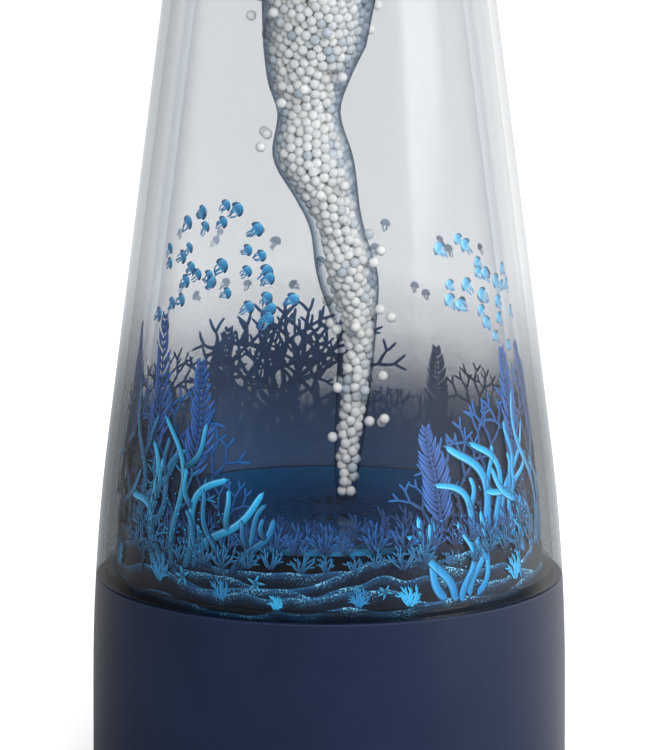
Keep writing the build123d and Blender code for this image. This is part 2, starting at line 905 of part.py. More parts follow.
def bracket_screws():
    return copies(screw(bracket_screw_length), damper_places, motor_face)


def motor_screws():
    return copies(Rot(180, 0, 0) * small_screw(motor_screw_length), motor_screw_places, bracket_top)


def drive_disc():
    """Magnet carrier on the motor shaft."""
    hub_low = drive_low - drive_hub_drop
    shape = disc(drive_radius, drive_low, drive_top) + disc(drive_hub_radius, hub_low, drive_low)
    shape -= disc(shaft_radius + fitted_gap, hub_low - cut_overrun, shaft_top + fitted_gap)
    pocket = drive_top - magnet_height
    return drilled(shape, magnet_radius + fitted_gap, pocket, drive_top + cut_overrun, magnet_places)


def drive_magnets():
    return copies(disc(magnet_radius, drive_top - magnet_height, drive_top), magnet_places)


def led_board():
    below, above = deck_top - cut_overrun, led_board_top + cut_overrun
    shape = ring(led_board_outer, led_board_inner, deck_top, led_board_top)
    shape = drilled(shape, small_shank_radius + screw_hole_gap, below, above, led_screw_places)
    return drilled(shape, lead_radius + running_gap, below, above, led_lead_places)


def leds():
    lamp = block(led_size, led_size, led_board_top, led_board_top + led_height)
    return copies(lamp, circle_places(led_count, led_circle_radius))


def led_screws():
    return copies(Rot(180, 0, 0) * small_screw(led_screw_length), led_screw_places, led_board_top)


def light_diffuser():
    """Opal ring of channel section, open below, over the lamps."""
    shape = ring(diffuser_outer, diffuser_inner, deck_top, diffuser_top)
    outer, inner = diffuser_outer - diffuser_wall, diffuser_inner + diffuser_wall
    under = diffuser_top - diffuser_wall
    return shape - (disc(outer, deck_top - cut_overrun, under) - disc(inner, deck_top - cut_overrun, under))


def control_board():
    """Upright board behind the rear panel."""
    middle = (0, board_back + board_thickness / 2)
    shape = block(control_board_width, board_thickness, control_board_low, control_board_high, middle)
    for across in (-board_boss_across, board_boss_across):
        hole = small_shank_radius + screw_hole_gap
        start, end = board_back - cut_overrun, board_face + cut_overrun
        shape -= rearward(hole, start, end, panel_height, across)
    return shape


def board_screws():
    laid = Rot(-90, 0, 0) * small_screw(board_screw_length)
    sides = (-board_boss_across, board_boss_across)
    return group(Pos(across, board_back, panel_height) * laid for across in sides)


def control_chip():
    low, high = chip_height - chip_length / 2, chip_height + chip_length / 2
    return block(chip_width, chip_thickness, low, high, (0, board_back - chip_thickness / 2))


def switch_body(height):
    """Body of a push switch, with the well that its plunger sinks into."""
    half = switch_size / 2
    middle = (0, board_face + switch_height / 2)
    shape = block(switch_size, switch_height, height - half, height + half, middle)
    well = switch_face - button_travel - plunger_reach - moving_gap
    return shape - rearward(plunger_radius + running_gap, well, switch_face + cut_overrun, height)


def push_switches():
    return group([switch_body(light_button_height), switch_body(swirl_button_height)])


def switch_plunger(height):
    end = switch_face + plunger_reach
    return rearward(plunger_radius, end - 2 * plunger_reach, end, height)


def button(height):
    """Round button with a flange behind the panel and a stem on its switch."""
    flange = panel_back - moving_gap - button_flange_thickness
    shape = rearward(button_stem_radius, switch_face + plunger_reach, flange, height)
    shape += rearward(button_flange_radius, flange, flange + button_flange_thickness, height)
    knob = rearward(button_radius, flange, panel_face + button_stand, height)
    knob = fillet(knob.edges().sort_by(Axis.Y)[-1], button_edge)
    return shape + knob


def light_switch_plunger():
    return switch_plunger(light_button_height)


def swirl_switch_plunger():
    return switch_plunger(swirl_button_height)


def light_button():
    return button(light_button_height)


def swirl_button():
    return button(swirl_button_height)


def inlet_jack():
    """Round power inlet on the control board, its nose flush with the rear panel."""
    half = jack_length / 2
    block_end = board_face + jack_block_depth
    middle = (0, board_face + jack_block_depth / 2)
    shape = block(jack_width, jack_block_depth, jack_height - half, jack_height + half, middle)
    shape += rearward(jack_nose_radius, block_end, panel_face, jack_height)
    shape -= rearward(jack_bore_radius, panel_face - jack_bore_depth, panel_face + cut_overrun, jack_height)
    return shape - rearward(jack_pin_radius + fitted_gap, board_face, panel_face, jack_height)


def inlet_pin():
    return rearward(jack_pin_radius, board_face, panel_face - jack_pin_recess, jack_height)


def lead(points):
    """A round wire along straight runs joined by arcs."""
    path = FilletPolyline(*points, radius=lead_bend)
    return sweep(Plane(origin=path @ 0, z_dir=path % 0) * Circle(lead_radius), path=path)


def motor_leads():
    """Two leads from the foot of the control board to the motor's terminals."""
    level = plate_top + lead_level
    bend_depth = board_back - lead_straight
    leads = []
    for across, _ in terminal_places:
        points = [
            (across, board_back, lead_start_height),
            (across, bend_depth, lead_start_height),
            (across, bend_depth - lead_slope_run, level),
            (across, 0, level),
            (across, 0, terminal_low),
        ]
        leads.append(lead(points))
    return group(leads)


def led_leads():
    """Two leads from the control board up through the deck to the ring of lamps."""
    leads = []
    for across, depth in led_lead_places:
        points = [
            (across, board_back, led_lead_height),
            (across, depth, led_lead_height),
            (across, depth, led_board_top),
        ]
        leads.append(lead(points))
    return group(leads)


pieces = (
    base_shell,
    bottom_plate,
    foot_pads,
    plate_screws,
    outer_cover,
    print_sleeve,
    tank,
    top_ring,
    tank_floor,
    floor_disc,
    tank_seal,
    tank_screws,
    impeller_pin,
    impeller_retainer,
    impeller,
    impeller_magnets,
    impeller_guard,
    liquid,
    beads,
    top_cap,
    filler_stopper,
    stopper_screw,
    motor_can,
    motor_bushes,
    motor_end_cap,
    motor_terminals,
    motor_shaft,
    motor_armature,
    field_magnets,
    motor_bracket,
    motor_dampers,
    bracket_screws,
    motor_screws,
    drive_disc,
    drive_magnets,
    led_board,
    leds,
    led_screws,
    light_diffuser,
    control_board,
    board_screws,
    control_chip,
    push_switches,
    light_switch_plunger,
    swirl_switch_plunger,
    light_button,
    swirl_button,
    inlet_jack,
    inlet_pin,
    motor_leads,
    led_leads,
)

os.makedirs("parts", exist_ok=True)
for make in pieces:
    export_step(make(), f"parts/{make.__name__}.step")
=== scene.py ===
# %% [markdown]
# # A liquid motion lamp
# The lamp is a tall clear cone on a round dark blue base. Inside the cone stands a tank of liquid with a
# printed film round it, and a motor in the base turns the liquid into a twist lined with small beads. The
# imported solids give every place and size. This lesson adds what the eye sees: the finishes, the ink on the
# film, the liquid with its hollow twist, the beads and the clear cover as one smooth moulding.

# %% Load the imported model
import math
import random
from functools import partial

import bpy
import numpy as np
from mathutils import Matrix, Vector, noise


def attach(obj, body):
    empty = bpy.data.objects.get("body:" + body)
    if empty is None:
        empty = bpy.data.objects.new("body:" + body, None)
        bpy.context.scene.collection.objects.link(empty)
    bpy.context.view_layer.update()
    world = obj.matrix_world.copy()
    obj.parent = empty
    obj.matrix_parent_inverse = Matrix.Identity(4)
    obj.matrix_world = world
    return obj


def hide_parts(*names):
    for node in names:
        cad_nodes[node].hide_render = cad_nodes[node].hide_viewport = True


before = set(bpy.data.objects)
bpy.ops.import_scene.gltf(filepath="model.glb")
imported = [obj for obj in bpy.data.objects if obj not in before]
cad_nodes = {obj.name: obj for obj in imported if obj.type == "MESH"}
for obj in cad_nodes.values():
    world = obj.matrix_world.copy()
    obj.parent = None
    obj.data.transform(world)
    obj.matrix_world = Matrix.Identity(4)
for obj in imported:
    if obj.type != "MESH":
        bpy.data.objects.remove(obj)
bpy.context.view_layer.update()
mm = 0.001
scene = bpy.context.scene

# %% [markdown]
# ## The camera
# The picture looks a little down on the lamp from straight in front, through a long lens that hardly
# narrows anything towards the back. Such a view is a camera far away with a large focal length. It stands a
# hair to the left, because the lamp's axis lies a few pixels right of the picture's middle.

# %% Camera
aim = Vector((-1.16, 0, 112.7)) * mm
eye = Vector((-1.16, -5200, 1239.3)) * mm
bpy.ops.object.camera_add(location=eye)
camera = bpy.context.object
camera.name = "camera"
camera.rotation_euler = (aim - eye).to_track_quat("-Z", "Y").to_euler()
camera.data.sensor_width = 36
camera.data.lens = 930
camera.data.clip_end = 50
scene.camera = camera
scene.view_settings.view_transform = "Standard"
scene.cycles.transparent_max_bounces = 64
print("camera looks down", round(math.degrees(math.atan2(eye.z - aim.z, -eye.y)), 1), "degrees")

# %% [markdown]
# ## Colours and nodes
# Colours are picked as sRGB hex values, as in any paint program, but shaders reckon in linear light, so one
# function turns them. Materials are made of nodes. One small function adds a node, sets its values and
# links its inputs, and all finishes below are written with it. Two settings that come up often have a name:
# a Mix node mixes colours only when its data type says so, and a Math node adds unless it is told to
# multiply.


# %% One function for colours and one for nodes
def paint(code):
    """The linear colour of an sRGB hex value."""
    channels = [int(code[i : i + 2], 16) / 255 for i in (1, 3, 5)]
    return (*[c / 12.92 if c <= 0.04045 else ((c + 0.055) / 1.055) ** 2.4 for c in channels], 1)


def add(tree, kind, settings=(), links=()):
    """Adds a node to a tree, with settings by input or attribute, and links by input from a socket or from a
    node's first output."""
    node = tree.nodes.new("ShaderNode" + kind)
    for name, value in dict(settings).items():
        if name == "stops":
            ramp = node.color_ramp
            stops = list(zip(value[::2], value[1::2]))
            while len(ramp.elements) < len(stops):
                ramp.elements.new(1)
            for element, (place, colour) in zip(ramp.elements, stops):
                element.position = place
                element.color = paint(colour)
        elif isinstance(name, int) or name in node.inputs:
            node.inputs[name].default_value = value
        else:
            setattr(node, name, value)
    for name, source in dict(links).items():
        socket = source.outputs[0] if isinstance(source, bpy.types.Node) else source
        tree.links.new(socket, node.inputs[name])
    return node


def emptied(owner):
    """Empties the node tree of a material or world, and gives the function that adds nodes to it."""
    owner.use_nodes = True
    owner.node_tree.nodes.clear()
    return partial(add, owner.node_tree)


def new_material(name):
    """A new material, the function that adds nodes to it, and the place on the object for its patterns."""
    made = bpy.data.materials.new(name)
    node = emptied(made)
    return made, node, node("TexCoord").outputs["Object"]


def deselect_all():
    bpy.ops.object.select_all(action="DESELECT")


def pick(piece):
    """Selects one object alone."""
    deselect_all()
    piece.select_set(True)
    bpy.context.view_layer.objects.active = piece


white = paint("#FFFFFF")
of_colours = {"data_type": "RGBA"}
product = {"operation": "MULTIPLY"}
print("navy is", [round(c, 3) for c in paint("#2B3750")])

# %% [markdown]
# ## The studio
# A product picture of a clear object needs white all round it, because clear walls show what is behind them
# and polished walls mirror what is beside them. So the camera and rays through glass see a white world, and
# mirrored rays see one that is darker to the left and in front. The light that falls on the lamp comes
# mostly from the right, and a tall soft lamp at the right gives the soft upright streak on the cone.

# %% World and floor
world = bpy.data.worlds.new("white studio")
scene.world = world
node = emptied(world)
ray = node("LightPath").outputs
direction = node("TexCoord").outputs["Generated"]
split = node("SeparateXYZ", links={0: direction}).outputs
soft = node("MapRange", {1: -1.0, 2: 1.0, 3: 0.42, 4: 0.95}, {0: split["X"]})
from_left = node("MapRange", {1: -0.6, 2: 0.0, 3: 0.22, 4: 1.0}, {0: split["X"]})
from_front = node("MapRange", {1: -0.95, 2: 0.0, 3: 0.16, 4: 1.0}, {0: split["Y"]})
mirrored = node("Math", product, {0: from_left, 1: from_front})
seen_rays = {0: ray["Is Camera Ray"], 1: ray["Is Transmission Ray"]}
seen = node("Math", {"operation": "MAXIMUM"}, seen_rays)
level = node("Mix", links={0: ray["Is Glossy Ray"], 2: soft, 3: mirrored})
shown = node("Mix", {3: 1.0}, {0: seen, 2: level})
backdrop = node("Background", {"Color": white}, {"Strength": shown})
node("OutputWorld", links={"Surface": backdrop})

deselect_all()
bpy.ops.mesh.primitive_plane_add(size=14, location=(0, 0, 0))
floor = bpy.context.object
floor.name = "floor"
floor_finish, node, place = new_material("pale matt studio floor")
ray = node("LightPath").outputs
seen_rays = {0: ray["Is Camera Ray"], 1: ray["Is Transmission Ray"]}
seen = node("Math", {"operation": "MAXIMUM"}, seen_rays)
lift = node("Math", {**product, 1: 0.45}, {0: seen})
onward = node("VectorMath", {"operation": "NORMALIZE"}, {0: place})
split = node("SeparateXYZ", links={0: onward}).outputs
dim = node("MapRange", {1: -0.9, 2: 0.5, 3: 0.1, 4: 0.75}, {0: split["Y"]})
shade = node("MapRange", {1: -0.9, 2: -0.1, 3: 0.3, 4: 1.0}, {0: split["X"]})
strength = node("Math", product, {0: dim, 1: shade})
mirrored = node("Emission", {"Color": white}, {"Strength": strength})
cloud = node("TexNoise", {"Scale": 3.0, "Detail": 3.0}, {"Vector": place})
tint = node("ValToRGB", {"stops": (0.3, "#EEF0F1", 0.7, "#F4F5F6")}, {0: cloud.outputs["Fac"]})
matt = node("BsdfDiffuse", links={"Color": tint})
glow = node("Emission", {"Color": white}, {"Strength": lift})
both = node("AddShader", links={0: matt, 1: glow})
ground = node("MixShader", links={0: ray["Is Glossy Ray"], 1: both, 2: mirrored})
node("OutputMaterial", links={"Surface": ground})
floor.data.materials.append(floor_finish)


def soft_lamp(name, place, aim_at, width, height, watts):
    """A tall soft lamp that points at the object."""
    bpy.ops.object.light_add(type="AREA", location=place)
    lamp = bpy.context.object
    lamp.name = name
    lamp.rotation_euler = (Vector(aim_at) - Vector(place)).to_track_quat("-Z", "Y").to_euler()
    lamp.data.shape = "RECTANGLE"
    lamp.data.size = width
    lamp.data.size_y = height
    lamp.data.energy = watts
    return lamp


key = soft_lamp("key", (1.5, -0.9, 0.7), (0, 0, 0.15), 0.9, 1.4, 5)
key.visible_glossy = False
streak = soft_lamp("streak", (1.5, -0.69, 0.72), (0, 0, 0.5), 0.85, 1.1, 8)
front = soft_lamp("front_fill", (0.5, -2.4, 1.7), (0, 0, 0.12), 1.6, 1.2, 50)
front.visible_glossy = False

# %% [markdown]
# ## The lamp's side
# Every ring of the lamp follows one outline: upright at the widest place, then a long arc, then a straight
# cone. The same sum gives the radius at any height and depth, so the liquid and the ink fit the solids
# exactly.


# %% The outline's radius at a height
widest_radius = 65.0
widest_height = 28.0
side_slope = math.radians(7.04)
side_arc_radius = 546.0
print_inset = 6.1
liquid_inset = 9.15
liquid_low = 75.6
liquid_top = 285.0


def side_radius(height, inset):
    """Radius in millimetres at a height, measured inset inside the lamp's surface."""
    arc = side_arc_radius - inset
    rise = min(max(height - widest_height, 0), arc * math.sin(side_slope))
    beyond = max(height - widest_height - arc * math.sin(side_slope), 0)
    return widest_radius - side_arc_radius + math.sqrt(arc**2 - rise**2) - beyond * math.tan(side_slope)


print("film radius at the seam", round(side_radius(57, print_inset), 1), "mm")

# %% [markdown]
# ## Dark blue moulded shell
# The base and the cap are ABS, moulded in a tool with a fine spark-eroded texture. That gives a satin
# surface: dark and even where it is looked at squarely, and pale along its edges, where even a rough
# surface mirrors the white room. The real grain is about 0.1 mm and would not show, so it is drawn at 0.5
# mm.


# %% Moulded finishes
drift_size = 22


def moulded(name, colour, shade, roughness, grain, depth):
    """A moulded finish whose colour drifts towards a second shade, with a fine grain in millimetres."""
    made, node, place = new_material(name)
    drift = node("TexNoise", {"Scale": 1 / (drift_size * mm), "Detail": 3.0}, {"Vector": place})
    tint = node("ValToRGB", {"stops": (0.3, colour, 0.7, shade)}, {0: drift.outputs["Fac"]})
    fine = node("TexNoise", {"Scale": 1 / (grain * mm), "Detail": 2.0}, {"Vector": place}).outputs["Fac"]
    rough = node("MapRange", {3: roughness - 0.04, 4: roughness + 0.04}, {0: fine})
    bump = node("Bump", {"Strength": 0.5, "Distance": depth * mm}, {"Height": fine})
    body = node("BsdfPrincipled", {"IOR": 1.53}, {"Base Color": tint, "Roughness": rough, "Normal": bump})
    node("OutputMaterial", links={"Surface": body})
    return made


navy_abs = moulded("satin moulded navy ABS", "#121F3A", "#162440", 0.34, 0.5, 0.012)
black_abs = moulded("matt moulded black ABS", "#17181B", "#1E1F23", 0.5, 0.5, 0.015)
white_acetal = moulded("moulded white acetal", "#E2E3E1", "#EAEAE8", 0.4, 0.6, 0.01)
opal_acrylic = moulded("moulded opal acrylic", "#E9ECEE", "#F2F4F5", 0.5, 0.8, 0.01)
rubber = moulded("moulded black rubber", "#141416", "#1B1B1D", 0.7, 0.4, 0.02)
silicone = moulded("moulded clear silicone", "#C9CDCF", "#D5D8DA", 0.45, 0.7, 0.01)
board_mask = moulded("green solder mask on glass fibre", "#0E4A2C", "#135536", 0.35, 1.2, 0.01)
phosphor = moulded("cast phosphor over a lamp chip", "#EFE7B8", "#F4EEC8", 0.4, 0.4, 0.01)
red_jacket = moulded("extruded red PVC jacket", "#9E1C18", "#A8231E", 0.42, 0.8, 0.01)
ferrite = moulded("pressed ferrite", "#2B2B2E", "#343437", 0.6, 0.3, 0.02)
print(len(bpy.data.materials), "materials so far")

# %% [markdown]
# ## Metals inside
# The screws, the motor's can and its bracket are plated steel, the bushes sintered bronze, the armature is
# wound with enamelled copper wire. A metal's colour is its reflection, so it only needs its colour, full
# metallic and a roughness that a fine scratch pattern varies. A winding is a wave pattern as wide as its
# wire, 0.4 mm. A wave's Scale of 0.31 makes one wave in each unit of length.


# %% Metal finishes
one_wave = 0.31


def metal(name, colour, roughness, scratch, wound):
    """A metal with fine scratches, or with the ridges of a winding, spaced in millimetres."""
    made, node, place = new_material(name)
    ridges = {"Scale": one_wave / (scratch * mm), "bands_direction": "Z"}
    scratches = {"Scale": 1 / (scratch * mm), "Detail": 4.0}
    kind, settings = ("TexWave", ridges) if wound else ("TexNoise", scratches)
    lines = node(kind, settings, {"Vector": place}).outputs["Fac"]
    rough = node("MapRange", {3: roughness - 0.06, 4: roughness + 0.06}, {0: lines})
    bump = node("Bump", {"Strength": 0.4, "Distance": 0.02 * mm}, {"Height": lines})
    settings = {"Base Color": paint(colour), "Metallic": 1.0}
    body = node("BsdfPrincipled", settings, {"Roughness": rough, "Normal": bump})
    node("OutputMaterial", links={"Surface": body})
    return made


zinc_steel = metal("zinc plated steel", "#B9BBBF", 0.32, 0.8, False)
nickel = metal("nickel plated magnet", "#C4C6CB", 0.18, 1.0, False)
bronze = metal("sintered bronze", "#A87E45", 0.45, 0.4, False)
copper_wire = metal("enamelled copper winding", "#B4643A", 0.3, 0.4, True)
print(len(bpy.data.materials), "materials so far")

# %% [markdown]
# ## Clear acrylic
# The cover, the tank and its dished floor are clear and polished. Real glass shaders bend light at every
# wall, which makes noise and dark patches through so many walls, so these walls let light straight through
# and only add what polish adds: a mirror image of the room that grows towards the edges. The edge of a cone
# of acrylic also looks darker, since the eye looks along the wall there, so the tint deepens with the
# angle.


# %% Clear finishes
shade_reach = 30
shade_top = 147
shade_low = 95
eased = {"interpolation_type": "SMOOTHSTEP"}


def clear(name, ramps, mirror, edge_mirror, mirror_start=0.3, mirror_end=1.0):
    """A clear polished wall. A ramp gives its tint from looking square on, at 0, to looking along it, at 1.
    Four ramps are for the upper left, the upper right, the lower left and the lower right: painted shade
    makes the left and lower edges darker, and a painted reflection makes the upper right edge lighter."""
    made, node, place = new_material(name)
    facing = node("LayerWeight", {"Blend": 0.5}).outputs["Facing"]
    layers = [node("ValToRGB", {"stops": ramp}, {0: facing}) for ramp in ramps]
    colour = layers[0]
    if len(layers) == 4:
        # painted shade and painted reflection: the tint darkens towards the left and lower down, and lightens
        # on the right
        split = node("SeparateXYZ", links={0: place}).outputs
        side = node("MapRange", {1: -shade_reach * mm, 2: shade_reach * mm}, {0: split["X"]})
        low = node("MapRange", {**eased, 1: shade_top * mm, 2: shade_low * mm}, {0: split["Z"]})
        upper = node("Mix", of_colours, {0: side, 6: layers[0], 7: layers[1]}).outputs[2]
        lower = node("Mix", of_colours, {0: side, 6: layers[2], 7: layers[3]}).outputs[2]
        colour = node("Mix", of_colours, {0: low, 6: upper, 7: lower}).outputs[2]
    in_shadow = node("LightPath").outputs["Is Shadow Ray"]
    lightly = node("Math", {**product, 1: 0.95}, {0: in_shadow})
    passed = node("Mix", {**of_colours, 7: white}, {0: lightly, 6: colour}).outputs[2]
    through = node("BsdfTransparent", links={"Color": passed})
    wave = node("TexNoise", {"Scale": 1 / (60 * mm), "Detail": 1.0}, {"Vector": place})
    bump = node("Bump", {"Strength": 0.06, "Distance": 1 * mm}, {"Height": wave.outputs["Fac"]})
    polish = node("BsdfGlossy", {"Color": white, "Roughness": 0.1}, {"Normal": bump})
    growing = {**eased, 1: mirror_start, 2: mirror_end, 3: mirror, 4: edge_mirror}
    amount = node("MapRange", growing, {0: facing})
    unlit = node("Math", {"operation": "SUBTRACT", 0: 1.0}, {1: lightly})
    share = node("Math", product, {0: amount, 1: unlit})
    wall = node("MixShader", links={0: share, 1: through, 2: polish})
    node("OutputMaterial", links={"Surface": wall})
    return made


# painted shade on the left and lower edges, and a painted reflection as a light band on the upper right edge
cover_ramps_with_painted_shade = (
    (0.34, "#FDFDFD", 0.43, "#ECEDEE", 0.6, "#DFE1E3", 0.7, "#D8DADC", 0.8, "#D8DADC", 1.0, "#E4E5E6"),
    (0.36, "#FDFDFD", 0.5, "#EFF0F1", 0.56, "#F0F1F2", 0.66, "#F9FAFA", 0.78, "#F0F1F2", 1.0, "#E6E7E8"),
    (0.5, "#FDFDFD", 0.59, "#959A9F", 0.72, "#979CA1", 0.8, "#9EA2A6", 0.87, "#AFB2B5", 1.0, "#C4C6C8"),
    (0.5, "#FDFDFD", 0.6, "#B2B6BA", 0.72, "#B2B6BA", 0.8, "#BEC1C4", 0.87, "#CBCED0", 1.0, "#DADCDD"),
)
skin_ramp = (0.3, "#F9FAFB", 0.65, "#B4BEC8", 1.0, "#64788C")
cover_outside = clear("polished acrylic cover outside", cover_ramps_with_painted_shade, 0.03, 0.16, 0.42, 0.66)
cover_inside = clear("polished acrylic cover inside", [(0.3, "#FDFDFD", 1.0, "#F4F5F6")], 0.03, 0.08)
cover_foot = clear("ground acrylic cover foot", [(0.0, "#C8D0D4", 1.0, "#A8B0B8")], 0.08, 0.12)
tank_acrylic = clear("polished clear acrylic tank", [(0.3, "#FCFCFC", 1.0, "#FCFCFC")], 0.003, 0.02)
lamp_liquid = clear("clear lamp liquid", [(0.3, "#F0F2F4", 1.0, "#F4F5F7")], 0.0, 0.01)
twist_skin = clear("liquid's surface in the twist", [skin_ramp], 0.015, 0.14)
print(len(bpy.data.materials), "materials so far")

# %% [markdown]
# ## The film's smoke
# The film is clear at the top and printed with a dark smoke low down, so that the tank fades into depth.
# The smoke is strongest on the far side and leaves a clear window in front, where the beads are looked at.
# It is worked out from the place on the film: its height, wavered by a soft noise, and how far round it
# lies.

# %% Smoke on the film
smoke_top = 133
smoke_low = 80
film_finish, node, place = new_material("printed film")
split = node("SeparateXYZ", links={0: place}).outputs
flat = node("CombineXYZ", links={0: split["X"], 1: split["Y"]})
radius = node("VectorMath", {"operation": "LENGTH"}, {0: flat}).outputs["Value"]
stretch = node("Mapping", {"Scale": (1, 1, 3)}, {"Vector": place})
drift = node("TexNoise", {"Scale": 1 / (45 * mm), "Detail": 3.0}, {"Vector": stretch})
waver = node("MapRange", {3: -7 * mm, 4: 7 * mm}, {0: drift.outputs["Fac"]})
height = node("Math", {"operation": "ADD"}, {0: split["Z"], 1: waver})
fall = node("MapRange", {1: smoke_top * mm, 2: smoke_low * mm}, {0: height})
thickening = (0.0, "#000000", 0.25, "#626262", 0.5, "#A2A2A2", 0.75, "#E4E4E4", 1.0, "#FFFFFF")
strength = node("ValToRGB", {"stops": thickening}, {0: fall})
forward = node("Math", {"operation": "DIVIDE"}, {0: split["Y"], 1: radius})
rise = node("MapRange", {"clamp": False, 1: 0.08, 2: 0.18, 3: 0.0, 4: -0.75}, {0: split["Z"]})
frame_edge = node("Math", {"operation": "ADD"}, {0: forward, 1: rise})
window = node("MapRange", {**eased, 1: -0.99, 2: -0.78}, {0: frame_edge})
smoke = node("Math", product, {0: strength, 1: window})
near_tint = node("ValToRGB", {"stops": (0.0, "#4A4E56", 0.5, "#2C3850", 1.0, "#101C36")}, {0: fall})
far_tint = node("ValToRGB", {"stops": (0.0, "#5C606A", 0.5, "#56657E", 1.0, "#5A7398")}, {0: fall})
behind = node("MapRange", {1: 0.0, 2: 0.6}, {0: forward})
dark = node("Mix", of_colours, {0: behind, 6: near_tint, 7: far_tint}).outputs[2]
ink = node("BsdfPrincipled", {"Roughness": 0.4}, {"Base Color": dark})
facing = node("LayerWeight", {"Blend": 0.5}).outputs["Facing"]
limb = node("ValToRGB", {"stops": (0.6, "#FDFDFD", 0.66, "#FAFBFC")}, {0: facing})
clear_film = node("BsdfTransparent", links={"Color": limb})
wall = node("MixShader", links={0: smoke, 1: clear_film, 2: ink})
node("OutputMaterial", links={"Surface": wall})
print("smoke from", smoke_top, "mm down to", smoke_low, "mm")

# %% [markdown]
# ## The tank's floor
# A blue disc closes the view into the tank. It is printed like rippled sand: wavy rings, deeper blue
# between them, and lighter towards the rim, where most light reaches it.

# %% Blue sand on the disc
ripple_width = 5
sand_finish, node, place = new_material("printed blue sand on the disc")
swirl = node("TexNoise", {"Scale": 1 / (18 * mm), "Detail": 3.0}, {"Vector": place})
rings = {"wave_type": "RINGS", "rings_direction": "Z", "Scale": one_wave / (ripple_width * mm)}
ripple = node("TexWave", {**rings, "Distortion": 4.0, "Detail": 3.0}, {"Vector": place})
length = node("VectorMath", {"operation": "LENGTH"}, {0: place}).outputs["Value"]
outward = node("MapRange", {1: 0.075, 2: 0.093}, {0: length})
deep = node("ValToRGB", {"stops": (0.0, "#0C4A80", 0.4, "#1280C2", 1.0, "#2CAEF0")}, {0: outward})
ridge = node("ValToRGB", {"stops": (0.35, "#000000", 0.9, "#7A7A7A")}, {0: ripple.outputs["Fac"]})
sand = node("Mix", {**of_colours, 7: paint("#4E92CC")}, {0: ridge, 6: deep}).outputs[2]
bump = node("Bump", {"Strength": 0.4, "Distance": 0.3 * mm}, {"Height": swirl.outputs["Fac"]})
body = node("BsdfPrincipled", {"Roughness": 0.35}, {"Base Color": sand, "Normal": bump})
node("OutputMaterial", links={"Surface": body})
print("ripples of", ripple_width, "mm on the disc")

# %% [markdown]
# ## Dressing the solids
# The solids that keep their own shape only need their finish. Each goes into the material slots of its
# object.

# %% Finishes on the CAD nodes
dress = {
    navy_abs: "base_shell bottom_plate top_cap light_button swirl_button",
    tank_acrylic: "tank tank_floor",
    film_finish: "print_sleeve",
    sand_finish: "floor_disc impeller_guard",
    rubber: "foot_pads tank_seal motor_dampers",
    silicone: "filler_stopper",
    white_acetal: "top_ring impeller impeller_retainer drive_disc light_switch_plunger swirl_switch_plunger",
    opal_acrylic: "light_diffuser",
    black_abs: "motor_end_cap control_chip push_switches inlet_jack",
    board_mask: "led_board control_board",
    phosphor: "leds",
    red_jacket: "motor_leads led_leads",
    ferrite: "field_magnets",
    bronze: "motor_bushes",
    copper_wire: "motor_armature motor_terminals",
    nickel: "impeller_magnets drive_magnets",
    zinc_steel: "plate_screws tank_screws impeller_pin stopper_screw motor_can motor_shaft motor_bracket"
    " bracket_screws motor_screws led_screws board_screws inlet_pin",
}
dressed = set()
for finish, names in dress.items():
    for name in names.split():
        dressed.add(name)
        for slot in cad_nodes[name].material_slots:
            slot.material = finish
print("dressed", len(dressed), "nodes, still to make:", sorted(set(cad_nodes) - dressed))

# %% [markdown]
# ## The twist
# The motor draws the liquid's surface down into a narrow hollow that leans and waves as it turns. Its
# outline is a short table: at shares of its height, how far its middle lies sideways and in
# depth, and how far it opens from one bead's room to the mouth. A smooth curve runs through the rows, as in
# the solids.

# %% The twist's outline
vortex_foot = 78.6
vortex_mouth_radius = 21.99
bead_room = 1.6
twist_shares = (
    (0.0, 0.21, 0.04, 0.03),
    (0.06, 0.24, 0.07, 0.085),
    (0.15, 0.32, 0.1, 0.115),
    (0.22, 0.37, 0.06, 0.125),
    (0.3, 0.28, 0.0, 0.255),
    (0.36, 0.15, -0.06, 0.225),
    (0.395, 0.03, -0.08, 0.275),
    (0.46, -0.19, -0.04, 0.43),
    (0.52, -0.25, 0.04, 0.32),
    (0.56, -0.26, 0.08, 0.44),
    (0.61, -0.18, 0.1, 0.59),
    (0.74, -0.08, 0.05, 0.74),
    (0.87, 0.0, 0.0, 0.87),
    (1.0, 0.0, 0.0, 1.0),
)


def smooth(before, start, end, after, share):
    """Value a share of the way from start to end, on a smooth curve through all four."""
    bend = 2 * before - 5 * start + 4 * end - after
    turn = 3 * start - 3 * end + after - before
    return start + share / 2 * (end - before + share * (bend + share * turn))


def twist_at(height):
    """x, y and radius of the twist in millimetres at a height."""
    level = min(max((height - vortex_foot) / (liquid_top - vortex_foot), 0), 1)
    rows = [twist_shares[0], *twist_shares, twist_shares[-1]]
    i = max(k for k in range(1, len(rows) - 2) if rows[k][0] <= level or k == 1)
    share = (level - rows[i][0]) / (rows[i + 1][0] - rows[i][0])
    x, y, opening = [smooth(*column, share) for column in list(zip(*rows[i - 1 : i + 3]))[1:]]
    radius = bead_room + opening * (vortex_mouth_radius - bead_room)
    return vortex_mouth_radius * x, vortex_mouth_radius * y, radius


print("twist at mid height", [round(v, 1) for v in twist_at(180)], "mm")

# %% [markdown]
# ## The liquid
# The liquid is one closed body: its outside lies against the tank, and its surface dips down into the
# twist. A lathe can't make it, because the twist leans. So a circle is drawn at the foot of the twist and
# extruded upwards ring by ring, moved and scaled each time, then outwards over the top, down the tank's
# wall and closed below. The skin of the twist gets a finish of its own, since that is where the eye sees
# the liquid. It stands a little off the beads half way up, as a sheath.


# %% Extrude the liquid ring by ring
def apply_place(piece):
    """Puts a piece's place into its mesh, with its object at the origin."""
    pick(piece)
    bpy.ops.object.transform_apply(location=True, rotation=True, scale=True)


